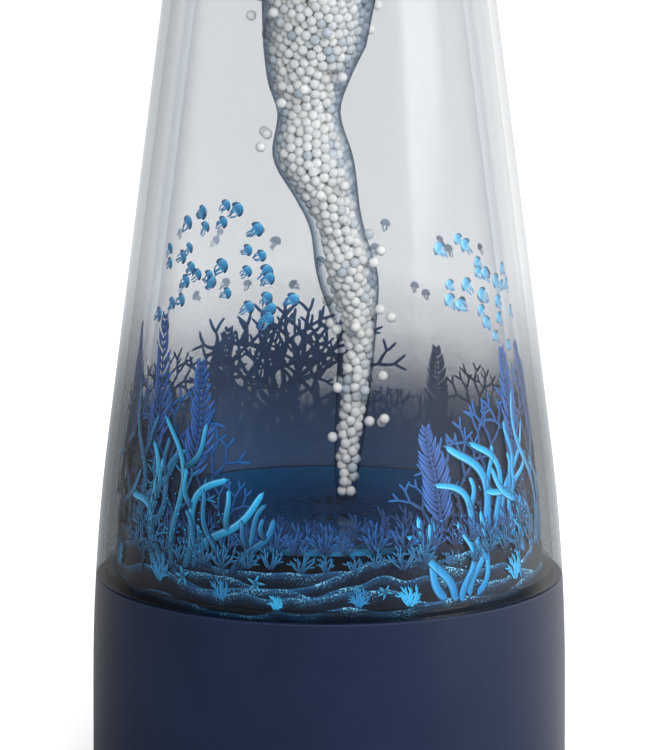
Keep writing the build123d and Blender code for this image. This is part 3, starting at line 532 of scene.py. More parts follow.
ring_count = 90
wall_rings = 24
skin_gap = 0.5
skin_reach = 3.2
sheath = 1.1
sheath_height = 138
sheath_reach = 26
below_foot = 0.8
levels = np.linspace(vortex_foot - below_foot, liquid_top, ring_count + 1)
rings = []
for level in levels:
    x, y, radius = twist_at(level)
    loose = sheath * math.exp(-(((level - sheath_height) / sheath_reach) ** 2))
    rings.append((x - loose, y, level, radius + skin_gap + loose))
for level in np.linspace(liquid_top, liquid_low, wall_rings):
    rings.append((0, 0, level, side_radius(level, liquid_inset)))
x, y, z, radius = rings[0]
deselect_all()
bpy.ops.mesh.primitive_circle_add(vertices=72, radius=radius * mm, location=(x * mm, y * mm, z * mm))
liquid = bpy.context.object
liquid.name = "liquid_body"
apply_place(liquid)
bpy.ops.object.mode_set(mode="EDIT")
bpy.ops.mesh.select_all(action="SELECT")
for x2, y2, z2, radius2 in rings[1:]:
    step = ((x2 - x) * mm, (y2 - y) * mm, (z2 - z) * mm)
    bpy.ops.mesh.extrude_region_move(TRANSFORM_OT_translate={"value": step})
    centre = (x2 * mm, y2 * mm, z2 * mm)
    bpy.ops.transform.resize(value=(radius2 / radius, radius2 / radius, 1), center_override=centre)
    x, y, z, radius = x2, y2, z2, radius2
bpy.ops.mesh.edge_face_add()
bpy.ops.mesh.select_all(action="DESELECT")
bpy.ops.mesh.select_non_manifold()
bpy.ops.mesh.edge_face_add()
bpy.ops.mesh.select_all(action="SELECT")
bpy.ops.mesh.normals_make_consistent(inside=False)
bpy.ops.object.mode_set(mode="OBJECT")
liquid.data.materials.append(lamp_liquid)
liquid.data.materials.append(twist_skin)
for face in liquid.data.polygons:
    middle = face.center / mm
    x, y, radius = twist_at(middle.z)
    near = math.hypot(middle.x - x, middle.y - y) < radius + skin_reach
    face.material_index = 1 if near and middle.z < liquid_top - 0.1 else 0
bpy.ops.object.shade_smooth_by_angle(angle=math.radians(40))
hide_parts("liquid")
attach(liquid, "swirl")
print("liquid has", len(liquid.data.polygons), "faces")

# %% [markdown]
# ## The clear cover
# The cover is one moulding of clear acrylic, 2.5 mm thick, whose stepped foot stands inside the base's rim.
# It is round, so half of its cut is enough: its outline is drawn point by point and spun about the upright
# axis in many steps, which keeps its edge smooth against the white room. The wall's outside and inside are
# dressed apart, because only the outside mirrors the room sharply at its edge.


# %% Spin the cover's outline
def spun(name, outline, steps):
    """Draws an outline of (radius, height) in millimetres from one vertex and spins it about the axis."""
    deselect_all()
    radius, height = outline[0]
    bpy.ops.mesh.primitive_plane_add(size=1 * mm, location=(radius * mm, 0, height * mm))
    piece = bpy.context.object
    piece.name = name
    apply_place(piece)
    bpy.ops.object.mode_set(mode="EDIT")
    bpy.ops.mesh.select_all(action="SELECT")
    bpy.ops.mesh.merge(type="CENTER")
    for next_radius, next_height in (*outline[1:], outline[0]):
        step = ((next_radius - radius) * mm, 0, (next_height - height) * mm)
        bpy.ops.mesh.extrude_region_move(TRANSFORM_OT_translate={"value": step})
        radius, height = next_radius, next_height
    bpy.ops.mesh.select_all(action="SELECT")
    bpy.ops.mesh.spin(steps=steps, angle=2 * math.pi, center=(0, 0, 0), axis=(0, 0, 1))
    bpy.ops.mesh.select_all(action="SELECT")
    bpy.ops.mesh.remove_doubles(threshold=0.001 * mm)
    bpy.ops.mesh.normals_make_consistent(inside=False)
    bpy.ops.object.mode_set(mode="OBJECT")
    bpy.ops.object.shade_smooth_by_angle(angle=math.radians(30))
    return piece


cover_wall = 2.5
cover_low = 57.3
cover_high = 311.0
cover_edge = 0.4
cover_rings = 40
foot_low = 51.0
foot_outer = side_radius(57, 2.6)
foot_inner = foot_outer - 2.4
inside_low = cover_low + cover_wall
low_edge = side_radius(cover_low, 0) - cover_edge
high_edge = side_radius(cover_high, 0) - cover_edge
outside = np.linspace(cover_low + cover_edge, cover_high - cover_edge, cover_rings)
inside = np.linspace(cover_high, inside_low, cover_rings)
outline = [(foot_inner, foot_low), (foot_outer, foot_low), (foot_outer, cover_low), (low_edge, cover_low)]
outline += [(side_radius(level, 0), level) for level in outside]
outline += [(high_edge, cover_high)]
outline += [(side_radius(level, cover_wall), level) for level in inside]
outline += [(foot_inner, inside_low)]
cover = spun("clear_cover", outline, 160)
for finish in (cover_outside, cover_inside, cover_foot):
    cover.data.materials.append(finish)
for face in cover.data.polygons:
    inward = face.normal.dot(Vector((face.center.x, face.center.y, 0))) < 0
    low = face.center.z < (cover_low + 0.1) * mm or (inward and face.center.z < (cover_low + 3) * mm)
    face.material_index = 2 if low else int(inward)
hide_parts("outer_cover")
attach(cover, "lamp")
print("cover has", len(cover.data.polygons), "faces")

# %% [markdown]
# ## The beads
# The beads are small plastic balls, about 3 mm, that the swirl carries down along the twist. They lie at
# random but as tight as they can. That is a packing puzzle, and it is solved as a box of marbles does: all
# are dropped at random on the twist's wall, then each pushes away the ones that it overlaps, again and
# again, and each slides back onto the wall. A second layer inside closes the gaps that the eye could look
# through, and a few strays float just outside.

# %% Let the beads push each other into place
bead_diameter = 3.0
bead_low = vortex_foot + 1.6
bead_high = liquid_top - 1.6
least_reach = 0.25
depth_scatter = 1.3
push_rounds = 55
push_share = 0.42
row_share = 0.866
stray_count = 64
table_heights = np.linspace(bead_low, bead_high, 500)
table = np.array([twist_at(level) for level in table_heights])


def twist_table(heights):
    """x, y and radius of the twist for many heights at once."""
    return [np.interp(heights, table_heights, table[:, k]) for k in range(3)]


def pack_layer(depth, spacing, fill, seed):
    """Bead middles in one layer at a depth inside the twist's wall, spread by pushing."""
    dice = np.random.default_rng(seed)
    small = np.float32
    reaches = np.maximum(table[:, 2] - depth, least_reach)
    steps = 2 * math.pi * reaches * (table_heights[1] - table_heights[0])
    count = int(fill * steps.sum() / (row_share * spacing**2))
    heights = np.interp(dice.random(count), np.cumsum(steps) / steps.sum(), table_heights)
    turns = dice.random(count) * 2 * math.pi
    depths = depth + depth_scatter * (dice.random(count) - 0.5)
    for _ in range(push_rounds):
        x, y, radius = twist_table(heights)
        reach = np.maximum(radius - depths, least_reach)
        spots = np.column_stack((x + reach * np.cos(turns), y + reach * np.sin(turns), heights)).astype(small)
        gaps = spots[:, None, :] - spots[None, :, :]
        lengths = np.sqrt(np.einsum("ijk,ijk->ij", gaps, gaps)) + small(1e-6)
        push = np.clip(small(spacing) - lengths, 0, None) / lengths
        np.fill_diagonal(push, 0)
        spots += small(push_share) * np.einsum("ijk,ij->ik", gaps, push)
        heights = np.clip(spots[:, 2], bead_low, bead_high)
        x, y, radius = twist_table(heights)
        turns = np.arctan2(spots[:, 1] - y, spots[:, 0] - x)
    return spots


outer_layer = pack_layer(1.7, 2.76, 1.08, 3)
inner_layer = pack_layer(3.6, 2.75, 1.12, 5)
inner_layer = inner_layer[twist_table(inner_layer[:, 2])[2] > 4.6]
dice = random.Random(11)
strays = []
for _ in range(stray_count):
    height = bead_low + 12 + (bead_high - bead_low - 14) * dice.random()
    x, y, radius = twist_at(height)
    turn = 2 * math.pi * dice.random()
    reach = radius + 1.2 + 4.5 * dice.random() ** 2
    strays.append((x + reach * math.cos(turn), y + reach * math.sin(turn), height))
outer_layer = np.vstack((outer_layer, strays))
print(len(outer_layer), "outer beads with", len(strays), "strays, and", len(inner_layer), "inner")


# %% One small ball, copied to every place
def copy_ball(name, places, tones_and_shade):
    """A mesh with a small icosphere at each place, and for each a value of random tone and painted shade."""
    deselect_all()
    bpy.ops.mesh.primitive_ico_sphere_add(subdivisions=2, radius=bead_diameter / 2 * mm)
    piece = bpy.context.object
    piece.name = name
    ball = piece.data
    corners = np.array([v.co for v in ball.vertices])
    triangles = np.array([p.vertices for p in ball.polygons])
    spots = np.array(places) * mm
    points = (spots[:, None, :] + corners[None, :, :]).reshape(-1, 3)
    shifts = np.arange(len(spots))[:, None, None] * len(corners)
    faces = (triangles[None, :, :] + shifts).reshape(-1, 3)
    mesh = bpy.data.meshes.new(name)
    mesh.from_pydata(points.tolist(), [], faces.tolist())
    tone = mesh.attributes.new("tone", "FLOAT", "POINT")
    tone.data.foreach_set("value", np.repeat(np.array(tones_and_shade, np.float32), len(corners)))
    piece.data = mesh
    mesh.shade_smooth()
    return piece


def bead_tones_and_side_shade(places):
    """A tone from 0, warm white, to 1, blue grey: a random tone, with painted shade that deepens it towards
    the column's sides and more on its right.
    """
    tones_and_shade = []
    for x, y, z in places:
        middle, _, radius = twist_at(z)
        side = (x - middle) / radius
        side = 0 if abs(side) > 1 else side
        # painted shade: the tone deepens towards the column's sides and more on the right; the gauss and the
        # rare jump are random tone
        tone = dice.gauss(0.15, 0.12) + 0.5 * abs(side) ** 2.5 + 0.16 * max(side, 0)
        tone += 0.35 if dice.random() < 0.07 else 0
        tones_and_shade.append(min(max(tone, 0), 1))
    return tones_and_shade


pearl_finish, node, place = new_material("satin moulded polystyrene beads")
tone = node("Attribute", {"attribute_name": "tone"}).outputs["Fac"]
speck = node("TexNoise", {"Scale": 1 / (1.2 * mm), "Detail": 2.0}, {"Vector": place})
pearl_tones_and_shade = (0.0, "#FFFDF9", 0.3, "#F3F2EF", 0.6, "#D0D8DE", 1.0, "#A3B2C0")
pearl_with_shade = node("ValToRGB", {"stops": pearl_tones_and_shade}, {0: tone})
mottle = node("MapRange", {3: 0.98, 4: 1.12}, {0: speck.outputs["Fac"]})
# painted shade: each bead is darkened towards its rim, down to 0.58 of its colour
facing = node("LayerWeight", {"Blend": 0.5}).outputs["Facing"]
rim = node("MapRange", {1: 0.25, 2: 1.0, 3: 1.0, 4: 0.58}, {0: facing})
shade = node("Math", product, {0: mottle, 1: rim})
tinted = node("VectorMath", {"operation": "SCALE"}, {0: pearl_with_shade, "Scale": shade})
body = node("BsdfPrincipled", {"Roughness": 0.28, "IOR": 1.59}, {"Base Color": tinted})
node("OutputMaterial", links={"Surface": body})

for name, places in (("beads_outer", outer_layer), ("beads_inner", inner_layer)):
    piece = copy_ball(name, places, bead_tones_and_side_shade(places))
    piece.data.materials.append(pearl_finish)
    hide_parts("beads")
    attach(piece, "swirl")
    print(name, len(piece.data.polygons), "triangles")

# %% [markdown]
# ## Drawing with ink
# The film is screen printed: flat shapes of opaque ink, over a dark coat that hides the light from inside.
# A stroke of ink is a strip along a line, wide as the brush, with its colour running from its foot to its
# tip, a pale line along one side and a dark rim. The strip is drawn flat in millimetres, to the right and
# up from its root, and then laid round the film, a few thousandths of a millimetre above the stroke before.


# %% A stroke, a dot and the sheet that holds them
stroke_lift = 0.0015
dot_lift = 0.0002


def laid(root, right, up, layer):
    """Place on the film of a point right and up of a root, given as its angle in degrees and its height."""
    height = root[1] + up
    radius = side_radius(height, print_inset)
    angle = math.radians(root[0]) + right / radius
    reach = radius + layer
    return reach * math.sin(angle) * mm, -reach * math.cos(angle) * mm, height * mm


def new_sheet(layer):
    """An empty sheet of ink that lies so many millimetres off the film."""
    return {"points": [], "faces": [], "uv": [], "low": [], "high": [], "below": [], "layer": layer}


def put(sheet, root, spot, uv, inks):
    """Adds a point of ink with its share across and along the stroke and the stroke's two colours."""
    sheet["points"].append(laid(root, *spot, sheet["layer"]))
    sheet["uv"].append(uv)
    sheet["low"].append(inks[0])
    sheet["high"].append(inks[1])


def stroke(sheet, root, path, widths, inks):
    """A strip of ink along a path of points right and up of the root."""
    path = np.array(path, float)
    along = np.gradient(path, axis=0)
    along /= np.linalg.norm(along, axis=1)[:, None] + 1e-9
    side = np.column_stack((-along[:, 1], along[:, 0])) * np.array(widths)[:, None] / 2
    sheet["layer"] += stroke_lift
    first = len(sheet["points"])
    for i, (point, across) in enumerate(zip(path, side)):
        share = i / (len(path) - 1)
        put(sheet, root, point + across, (0, share), inks)
        put(sheet, root, point - across, (1, share), inks)
        if i:
            a = first + 2 * i
            sheet["faces"].append((a - 2, a - 1, a + 1, a))


def dot(sheet, root, right, up, size, colour):
    """A round dot of ink."""
    first = len(sheet["points"])
    sheet["layer"] += dot_lift
    for k in range(6):
        turn = k * math.pi / 3
        spot = (right + size / 2 * math.cos(turn), up + size / 2 * math.sin(turn))
        put(sheet, root, spot, (0.5, 0.7), (colour, colour))
    sheet["faces"].append(tuple(range(first, first + 6)))


def growth(length, heading, curl, wave, phase, count):
    """Points of a line that grows from (0, 0): its heading in degrees from upright turns as it grows."""
    spot = np.zeros(2)
    points = [spot]
    for i in range(1, count):
        share = i / (count - 1)
        turn = math.radians(heading + curl * share + wave * math.sin(2 * math.pi * share + phase))
        spot = spot + length / (count - 1) * np.array((math.sin(turn), math.cos(turn)))
        points.append(spot)
    return np.array(points)


def ribbon_widths(count, width, tip):
    """Widths of a stroke with a round foot that narrows towards its tip."""
    shares = [i / (count - 1) for i in range(count)]
    return [width * (1 - (1 - tip) * s) * math.sqrt(max(1 - abs(2 * s - 1) ** 12, 0.002)) for s in shares]


def ink_piece(sheet, name, finish, backing, thickness=0.04, rim=1):
    """Turns a sheet into a thin closed piece: bright ink outside, dark coat inside."""
    mesh = bpy.data.meshes.new(name)
    mesh.from_pydata(sheet["points"], [], sheet["faces"])
    uv = mesh.uv_layers.new(name="ink")
    corners = np.empty(len(mesh.loops), np.int32)
    mesh.loops.foreach_get("vertex_index", corners)
    uv.data.foreach_set("uv", np.array(sheet["uv"], np.float32)[corners].ravel())
    colours = ("FLOAT_COLOR", "color")
    for key, (kind, field) in (("low", colours), ("high", colours), ("below", ("FLOAT", "value"))):
        if sheet[key]:
            stored = mesh.attributes.new(key, kind, "POINT")
            stored.data.foreach_set(field, np.array(sheet[key], np.float32).ravel())
    piece = bpy.data.objects.new(name, mesh)
    scene.collection.objects.link(piece)
    mesh.materials.append(finish)
    mesh.materials.append(backing)
    pick(piece)
    coat = piece.modifiers.new("coat", "SOLIDIFY")
    coat.thickness = thickness * mm
    coat.offset = -1
    coat.material_offset = 1
    coat.material_offset_rim = rim
    bpy.ops.object.modifier_apply(modifier=coat.name)
    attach(piece, "lamp")
    print(name, len(piece.data.polygons), "faces, up to", round(sheet["layer"], 2), "mm off the film")


# %% The ink and its dark coat
def ink_material(name, coat=""):
    """Ink whose colour runs along each stroke, or the coat behind it, mixed with a colour or with mist."""
    made, node, place = new_material(name)
    uv = node("UVMap", {"uv_map": "ink"})
    split = node("SeparateXYZ", links={0: uv}).outputs
    low = node("Attribute", {"attribute_name": "low"}).outputs["Color"]
    high = node("Attribute", {"attribute_name": "high"}).outputs["Color"]
    run = node("Mix", of_colours, {0: split["Y"], 6: low, 7: high}).outputs[2]
    grain = node("TexNoise", {"Scale": 1 / (0.7 * mm), "Detail": 2.0}, {"Vector": place}).outputs["Fac"]
    if coat == "mist":
        height = node("SeparateXYZ", links={0: place}).outputs["Z"]
        level = node("MapRange", {1: 0.08, 2: 0.125}, {0: height})
        paling = (0.0, "#1E4A80", 0.35, "#34568A", 0.7, "#667EA4", 1.0, "#94A6C2")
        mist = node("ValToRGB", {"stops": paling}, {0: level})
        colour = node("Mix", {**of_colours, 0: 0.5}, {6: run, 7: mist}).outputs[2]
    elif coat:
        colour = node("Mix", {**of_colours, 0: 0.8, 7: paint(coat)}, {6: run}).outputs[2]
    else:
        rim = (0.0, "#182028", 0.1, "#B8C0C8", 0.3, "#FFFFFF", 0.8, "#C8CED4", 1.0, "#202A34")
        pale_line = (0.16, "#000000", 0.21, "#C0C0C0", 0.27, "#C0C0C0", 0.32, "#000000")
        dark_rim = node("ValToRGB", {"stops": rim}, {0: split["X"]})
        shine = node("ValToRGB", {"stops": pale_line}, {0: split["X"]})
        multiplied = {**of_colours, "blend_type": "MULTIPLY", 0: 1.0}
        lit = node("Mix", multiplied, {6: run, 7: dark_rim}).outputs[2]
        green = node("SeparateColor", links={0: high}).outputs["Green"]
        gloss = node("Math", {**product, 1: 1.5, "use_clamp": True}, {0: green})
        upper = node("Math", product, {0: gloss, 1: split["Y"]})
        glint = node("Math", product, {0: shine, 1: upper})
        colour = node("Mix", {**of_colours, 7: paint("#D8F6FF")}, {0: glint, 6: lit}).outputs[2]
    mottle = node("MapRange", {3: 0.88, 4: 1.1}, {0: grain})
    tinted = node("VectorMath", {"operation": "SCALE"}, {0: colour, "Scale": mottle})
    bump = node("Bump", {"Strength": 0.3, "Distance": 0.01 * mm}, {"Height": grain})
    body = node("BsdfPrincipled", {"Roughness": 0.38}, {"Base Color": tinted, "Normal": bump})
    node("OutputMaterial", links={"Surface": body})
    return made


def pair(low, high):
    """The colours of a stroke's foot and tip."""
    return paint(low), paint(high)


ink_finish = ink_material("screen printed gloss ink")
coat_finish = ink_material("dark coat behind the ink", "#2A3040")
pale_coat = ink_material("pale coat behind the drifters", "#E4EAF4")
far_coat = ink_material("blue grey coat behind the far plants", "mist")
cyan = pair("#0C86CC", "#22C2FF")
teal = pair("#064A72", "#128AC6")
violet = pair("#103C78", "#3C80E0")
deep_blue = pair("#0A325C", "#146CBC")
dim_blue = pair("#0C1E3C", "#1A4A8C")
dim_to_deep = (dim_blue[0], deep_blue[1])
deep_to_teal = (deep_blue[0], teal[1])
teal_to_cyan = (teal[0], cyan[1])
print("ink mixed")

# %% [markdown]
# ## The plants on the print
# All plants grow from a few simple rules, as real ones do. A ribbon weed is a handful of long wavy strokes
# from one root. A fern is a stem with leaflets in pairs that shorten towards the tip. A tuft is a fan of
# short blades that fork. A seeded random number varies each, so that no two are alike and every run draws
# the same.


# %% Rules for weeds, ferns and tufts
pen = random.Random(21)


def ribbon_weed(sheet, root, count, length, width, inks):
    """Wavy ribbons that fan out of one root, the outer ones shorter and more curled."""
    for i in range(count):
        share = (i + 0.5) / count * 2 - 1
        way = 1 if share > 0 else -1
        tall = length * (1 - 0.3 * abs(share)) * pen.uniform(0.85, 1.1)
        foot = np.array((0.22 * length * share, pen.uniform(-1, 1)))
        curl = pen.uniform(0, 45) * way
        path = growth(tall, 30 * share, curl, pen.uniform(24, 38), pen.uniform(0, 6), 20)
        widths = ribbon_widths(20, width * pen.uniform(0.85, 1.15), 0.6)
        stroke(sheet, root, path + foot, widths, inks)
        if pen.random() < 0.6:
            k = pen.choice((8, 10, 12))
            side = growth(tall * 0.36, 30 * share - 50 * way, 40 * way, 15, pen.uniform(0, 6), 12)
            stroke(sheet, root, side + path[k] + foot, ribbon_widths(12, width * 0.75, 0.6), inks)


def fern(sheet, root, length, heading, spread, inks):
    """A stem with pairs of leaflets that shorten towards its tip."""
    stem = growth(length, heading, pen.uniform(-14, 14), 5, 0, 22)
    stroke(sheet, root, stem, ribbon_widths(22, 1.1, 0.3), inks)
    widths = [1.15 * w for w in (0.35, 0.85, 1.0, 0.9, 0.6, 0.15)]
    for i in range(2, 21):
        share = i / 21
        along = math.degrees(math.atan2(*(stem[i] - stem[i - 1])))
        reach = spread * (1 - share) ** 0.6 * min(1, 0.5 + 2.2 * share)
        for way in (-1, 1):
            angle = along + way * pen.uniform(48, 66)
            leaf = growth(reach + 0.8, angle, -38 * way, 0, 0, 6)
            stroke(sheet, root, leaf + stem[i], widths, inks)


def tuft(sheet, root, size, blades, inks):
    """Short blades that fan out and fork."""
    for i in range(blades):
        share = (i + 0.5) / blades * 2 - 1
        heading = 58 * share + pen.uniform(-8, 8)
        tall = size * (1 - 0.3 * abs(share)) * pen.uniform(0.75, 1.15)
        path = growth(tall, heading, -20 * share, 8, pen.uniform(0, 6), 8)
        stroke(sheet, root, path, ribbon_widths(8, 0.14 * size, 0.4), inks)
        for k, way in ((3, 1), (5, -1)):
            side = growth(tall * 0.4, heading + 42 * way, -20 * way, 0, 0, 5)
            stroke(sheet, root, side + path[k], ribbon_widths(5, 0.11 * size, 0.4), inks)


def bush(sheet, root, size, inks, forks=4, heading=0.0, foot=(0, 0), level=0.0):
    """A stem that forks again and again, its colour running on from fork to fork."""
    step = 1 / (forks + 1) * (1 - level)
    shades = [tuple(a + (b - a) * min(level + k * step, 1) for a, b in zip(*inks)) for k in (0, 1)]
    path = growth(size * 0.34, heading, pen.uniform(-18, 18), 5, pen.uniform(0, 6), 6)
    widths = [(0.05 * size + 0.3) * w for w in (0.8, 1, 0.95, 0.9, 0.85, 0.5)]
    stroke(sheet, root, path + foot, widths, shades)
    if forks:
        tip = path[-1] * 0.96 + foot
        for way in (-1, 1):
            lean = heading * 0.85 + way * pen.uniform(20, 40)
            bush(sheet, root, size * pen.uniform(0.72, 0.86), inks, forks - 1, lean, tip, level + step)


def jelly(sheet, root, size, tilt, inks):
    """A small jellyfish: a round bell with trailing threads."""
    lean = math.radians(tilt)
    turn = np.array(((math.cos(lean), math.sin(lean)), (-math.sin(lean), math.cos(lean))))
    for k in (-0.6, -0.2, 0.2, 0.6):
        tail = growth(size * pen.uniform(0.55, 0.9), 180 + 16 * k, 0, 22, pen.uniform(0, 6), 7)
        spots = [turn @ (p + np.array((k * size * 0.42, 0.04 * size))) for p in tail]
        stroke(sheet, root, spots, [0.1 * size] * 6 + [0.03 * size], inks[::-1])
    shares = [i / 8 for i in range(9)]
    bell = [turn @ np.array((0, size * (0.62 * s - 0.08))) for s in shares]
    widths = [size * max(1 - s**2.4, 0.01) ** 0.5 * (0.9 + 0.1 * min(4 * s, 1)) for s in shares]
    stroke(sheet, root, bell, widths, inks)


def star(sheet, root, size, tilt, inks):
    """A starfish of five tapered arms."""
    widths = [0.5 * size * w for w in (0.9, 1.0, 0.75, 0.55, 0.35, 0.1)]
    for i in range(5):
        arm = growth(size, 72 * i + tilt, pen.uniform(-25, 25), 0, 0, 6)
        stroke(sheet, root, arm, widths, inks)


# %% Plants in front and round the film
far_sheet = new_sheet(0.3)
for angle in range(62, 300, 8):
    root = (angle + pen.uniform(-3, 3), pen.uniform(74, 80))
    bush(far_sheet, root, pen.uniform(12, 18), dim_blue, 3)
far_plants = (
    (100, fern, 32), (114, ribbon_weed, 30), (130, bush, 24), (146, fern, 32), (160, bush, 20),
    (176, ribbon_weed, 26), (182, bush, 34), (186, bush, 26), (190, ribbon_weed, 28), (193, bush, 38),
    (196, bush, 34), (199, bush, 30), (203, ribbon_weed, 32), (206, bush, 36), (209, fern, 36),
    (222, ribbon_weed, 36), (240, bush, 30), (262, ribbon_weed, 30),
)
for angle, rule, size in far_plants:
    root = (angle, pen.uniform(76, 82))
    if rule is fern:
        fern(far_sheet, root, size, pen.uniform(-10, 10), 8, violet)
    elif rule is bush:
        bush(far_sheet, root, size, deep_blue, 5)
    else:
        ribbon_weed(far_sheet, root, 5, size, 2.2, cyan)
ink_piece(far_sheet, "ink_far", ink_finish, far_coat)

low_sheet = new_sheet(0.3)
for level, size, inks in ((78.5, 9, dim_blue), (74.5, 8, dim_to_deep), (70.5, 7, deep_to_teal)):
    angle = -70
    while angle < 70:
        root = (angle, level + pen.uniform(-1, 1))
        tuft(low_sheet, root, size * pen.uniform(0.75, 1.25), 5, inks)
        angle += 7.0 + pen.uniform(-1.5, 1.5)
ink_piece(low_sheet, "ink_low_weeds", ink_finish, coat_finish)


def thicket(name, bushes, plants):
    """Prints dim bushes, and before them plants, each given as a rule, a root and what else the rule needs."""
    sheet = new_sheet(0.6)
    for angle, height, size in bushes:
        bush(sheet, (angle, height), size, dim_to_deep)
    for rule, root, *rest in plants:
        rule(sheet, root, *rest)
    ink_piece(sheet, name, ink_finish, coat_finish)


left_bushes = ((-66, 86, 30), (-52, 84, 32), (-38, 80, 25), (-30, 76, 17), (-80, 88, 30), (-94, 84, 30))
left_plants = (
    (fern, (-60, 92), 44, -3, 10, violet),
    (fern, (-43, 90), 36, 8, 9, violet),
    (fern, (-77, 94), 36, -6, 9.5, violet),
    (bush, (-47, 74), 24, deep_to_teal),
    (ribbon_weed, (-68, 76), 5, 42, 3.2, teal),
    (ribbon_weed, (-47, 68), 5, 42, 3.2, teal_to_cyan),
    (ribbon_weed, (-29, 69), 4, 27, 2.8, deep_to_teal),
    (ribbon_weed, (-90, 72), 5, 40, 3.2, teal),
    (bush, (-61, 64), 18, deep_to_teal),
)
thicket("ink_left_weeds", left_bushes, left_plants)
right_bushes = ((30, 76, 18), (40, 80, 24), (52, 84, 28), (65, 86, 30), (78, 88, 30), (92, 84, 30))
right_plants = (
    (fern, (33, 79), 30, -12, 9, violet),
    (fern, (64, 90), 36, 3, 9.5, violet),
    (fern, (84, 92), 34, -5, 9, violet),
    (ribbon_weed, (53, 73), 5, 40, 3.2, cyan),
    (ribbon_weed, (38, 60), 5, 29, 2.9, cyan),
    (ribbon_weed, (74, 68), 5, 46, 3.2, cyan),
    (ribbon_weed, (98, 70), 5, 40, 3.0, cyan),
    (bush, (63, 62), 18, cyan),
)
thicket("ink_right_weeds", right_bushes, right_plants)

drifters = new_sheet(0.4)
for i in range(34):
    share = (i + 0.5) / 34
    height = 138 + 18 * math.sin(3 * share) + (7 if i % 2 else -6) + pen.uniform(-5, 5)
    root = (-68 + 54 * share + pen.uniform(-3, 3), height)
    jelly(drifters, root, pen.uniform(3.3, 4.6), pen.uniform(30, 65), pair("#23589C", "#4CBBEC"))
for i in range(22):
    share = (i + 0.5) / 22
    root = (40 + 38 * share + pen.uniform(-3, 3), 150 - 16 * share + (8, -9, 0)[i % 3] + pen.uniform(-4, 4))
    jelly(drifters, root, pen.uniform(3.3, 4.6), pen.uniform(-65, -30), pair("#2F86CC", "#8EE4FF"))
for i in range(24):
    root = (118 + 5.2 * i + pen.uniform(-3, 3), 134 + 11 * math.sin(1.7 * i) + pen.uniform(-4, 4))
    jelly(drifters, root, pen.uniform(2.4, 3.4), pen.uniform(-60, 60), pair("#3A6AA0", "#7FC8EE"))
ink_piece(drifters, "ink_drifters", ink_finish, pale_coat)

# %% [markdown]
# ## The dunes on the print
# Low down, dunes of dark sand overlap like scenery on a stage, each with bright dots along its crest that
# thin out below. Each dune is a band round the film whose top edge is a soft noise. Its material makes the
# dots: a cell pattern, a dot in each cell, its size falling with the depth below the crest.

# %% Stippled ink
fade_depth = 7.0
stipple_finish, node, place = new_material("stippled ink on the dunes")
uv = node("UVMap", {"uv_map": "ink"})
below = node("Attribute", {"attribute_name": "below"}).outputs["Fac"]
clump = node("TexNoise", {"Scale": 0.16, "Detail": 2.0}, {"Vector": uv}).outputs["Fac"]
patch = node("MapRange", {1: 0.38, 2: 0.62, 3: 0.25, 4: 1.15}, {0: clump})
depth = node("MapRange", {1: 0.0, 2: fade_depth}, {0: below})
dot_sizes = (0.0, "#A2A2A2", 0.1, "#8C8C8C", 0.3, "#6A6A6A", 0.65, "#424242", 1.0, "#000000")
layers = []
for size, full in ((1.0, 1.0), (0.62, 0.9)):
    cells = node("TexVoronoi", {"voronoi_dimensions": "2D", "Scale": 1 / size}, {"Vector": uv})
    fall = node("ValToRGB", {"stops": dot_sizes}, {0: depth})
    grown = node("Math", {**product, 1: full}, {0: fall})
    reach = node("Math", product, {0: grown, 1: patch})
    inside = node("Math", {"operation": "SUBTRACT"}, {0: reach, 1: cells.outputs["Distance"]})
    layers.append(node("MapRange", {1: 0.0, 2: 0.08}, {0: inside}))
either = node("Math", {"operation": "MAXIMUM"}, {0: layers[0], 1: layers[1]})
# painted shade: the dots are dimmed towards the left side
sideways = node("SeparateXYZ", links={0: place}).outputs["X"]
lit_side = node("MapRange", {1: -40 * mm, 2: 30 * mm, 3: 0.28, 4: 1.0}, {0: sideways})
dots = node("Math", product, {0: either, 1: lit_side})
dark_sand = (0.0, "#0E5C90", 0.08, "#0A3860", 0.3, "#081830", 1.0, "#060B14")
ground = node("ValToRGB", {"stops": dark_sand}, {0: depth})
specks = node("ValToRGB", {"stops": (0.0, "#8CDCFA", 0.35, "#40B0E0", 1.0, "#1670A4")}, {0: depth})
colour = node("Mix", of_colours, {0: dots, 6: ground, 7: specks}).outputs[2]
body = node("BsdfPrincipled", {"Roughness": 0.4}, {"Base Color": colour})
node("OutputMaterial", links={"Surface": body})
print("dots fade out", fade_depth, "mm below a crest")


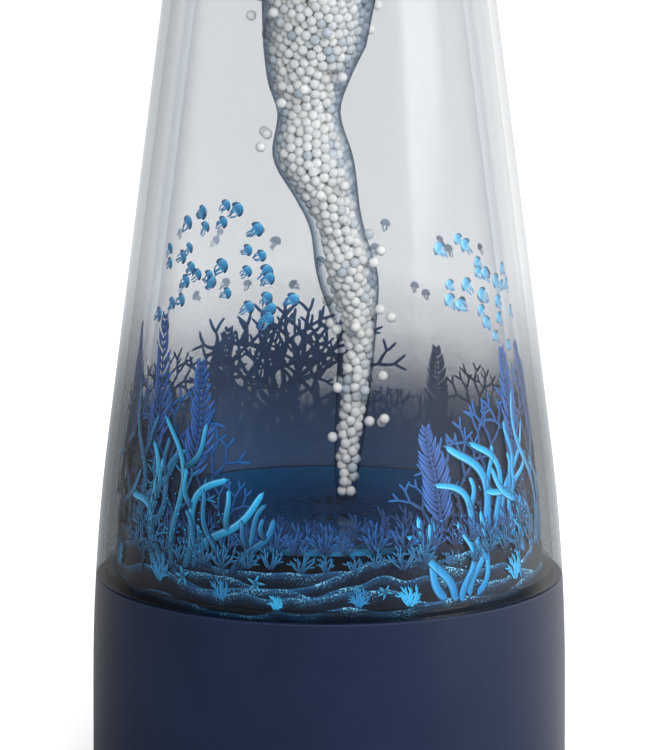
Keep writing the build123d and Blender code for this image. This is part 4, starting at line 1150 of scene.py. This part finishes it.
# %% Bands of dunes
def crest(angle, seed, base, swing):
    """Height of a dune's top edge at an angle in degrees, rising a little away from the front."""
    turn = math.radians(angle)
    wave = noise.noise(Vector((1.9 * math.cos(turn), 1.9 * math.sin(turn), seed)))
    ripple = noise.noise(Vector((6 * math.cos(turn), 6 * math.sin(turn), seed + 5)))
    return base + swing * (1.6 * wave + 0.4 * ripple) + 2.5 * (1 - math.cos(turn))


dune_low = 51.2
dune_sheet = new_sheet(0.7)
dunes = ((72.6, 0.8), (70.6, 2.4), (68.2, 5.0), (65.0, 5.5), (62.6, 5.0), (59.2, 3.6))
for seed, (base, swing) in enumerate(dunes):
    dune_sheet["layer"] += 0.03
    first = len(dune_sheet["points"])
    for i in range(361):
        angle = i - 180
        top = crest(angle, seed, base, swing)
        for k in range(6):
            height = top + (dune_low - top) * (k / 5) ** 1.5
            dune_sheet["points"].append(laid((angle, height), 0, 0, dune_sheet["layer"]))
            dune_sheet["uv"].append((math.radians(angle) * 58 + 31 * seed, height))
            dune_sheet["below"].append(top - height + (0 if seed else fade_depth))
            if i and k:
                a = first + 6 * (i - 1) + k - 1
                dune_sheet["faces"].append((a + 1, a + 7, a + 6, a))
ink_piece(dune_sheet, "ink_dunes", stipple_finish, coat_finish, 0.02, 0)

# %% Small things on the dunes
small_sheet = new_sheet(1.0)
tufts = (
    (-30, 61, 6.0, teal), (-14, 59.5, 4.6, cyan), (8, 60.5, 5.5, teal), (22, 60, 6.5, cyan),
    (-52, 63, 8.0, teal), (60, 62, 8.0, cyan), (-78, 62, 8.0, cyan),
)
for angle, height, size, (_, colour) in tufts:
    tuft(small_sheet, (angle, height), size, 9, (colour, colour))
for root, size, tilt in (((-20, 66.5), 2.6, 12), ((15, 64.5), 2.2, 40), ((-43, 66), 2.8, 66)):
    star(small_sheet, root, size, tilt, teal_to_cyan)
for root, count in (((-60, 84), 120), ((-40, 80), 80), ((45, 78), 90), ((68, 82), 120)):
    for _ in range(count):
        spot = (pen.gauss(0, 6), pen.gauss(0, 7))
        dot(small_sheet, root, *spot, pen.uniform(0.25, 0.55), pen.choice((cyan[1], teal[1])))
ink_piece(small_sheet, "ink_small", ink_finish, coat_finish)
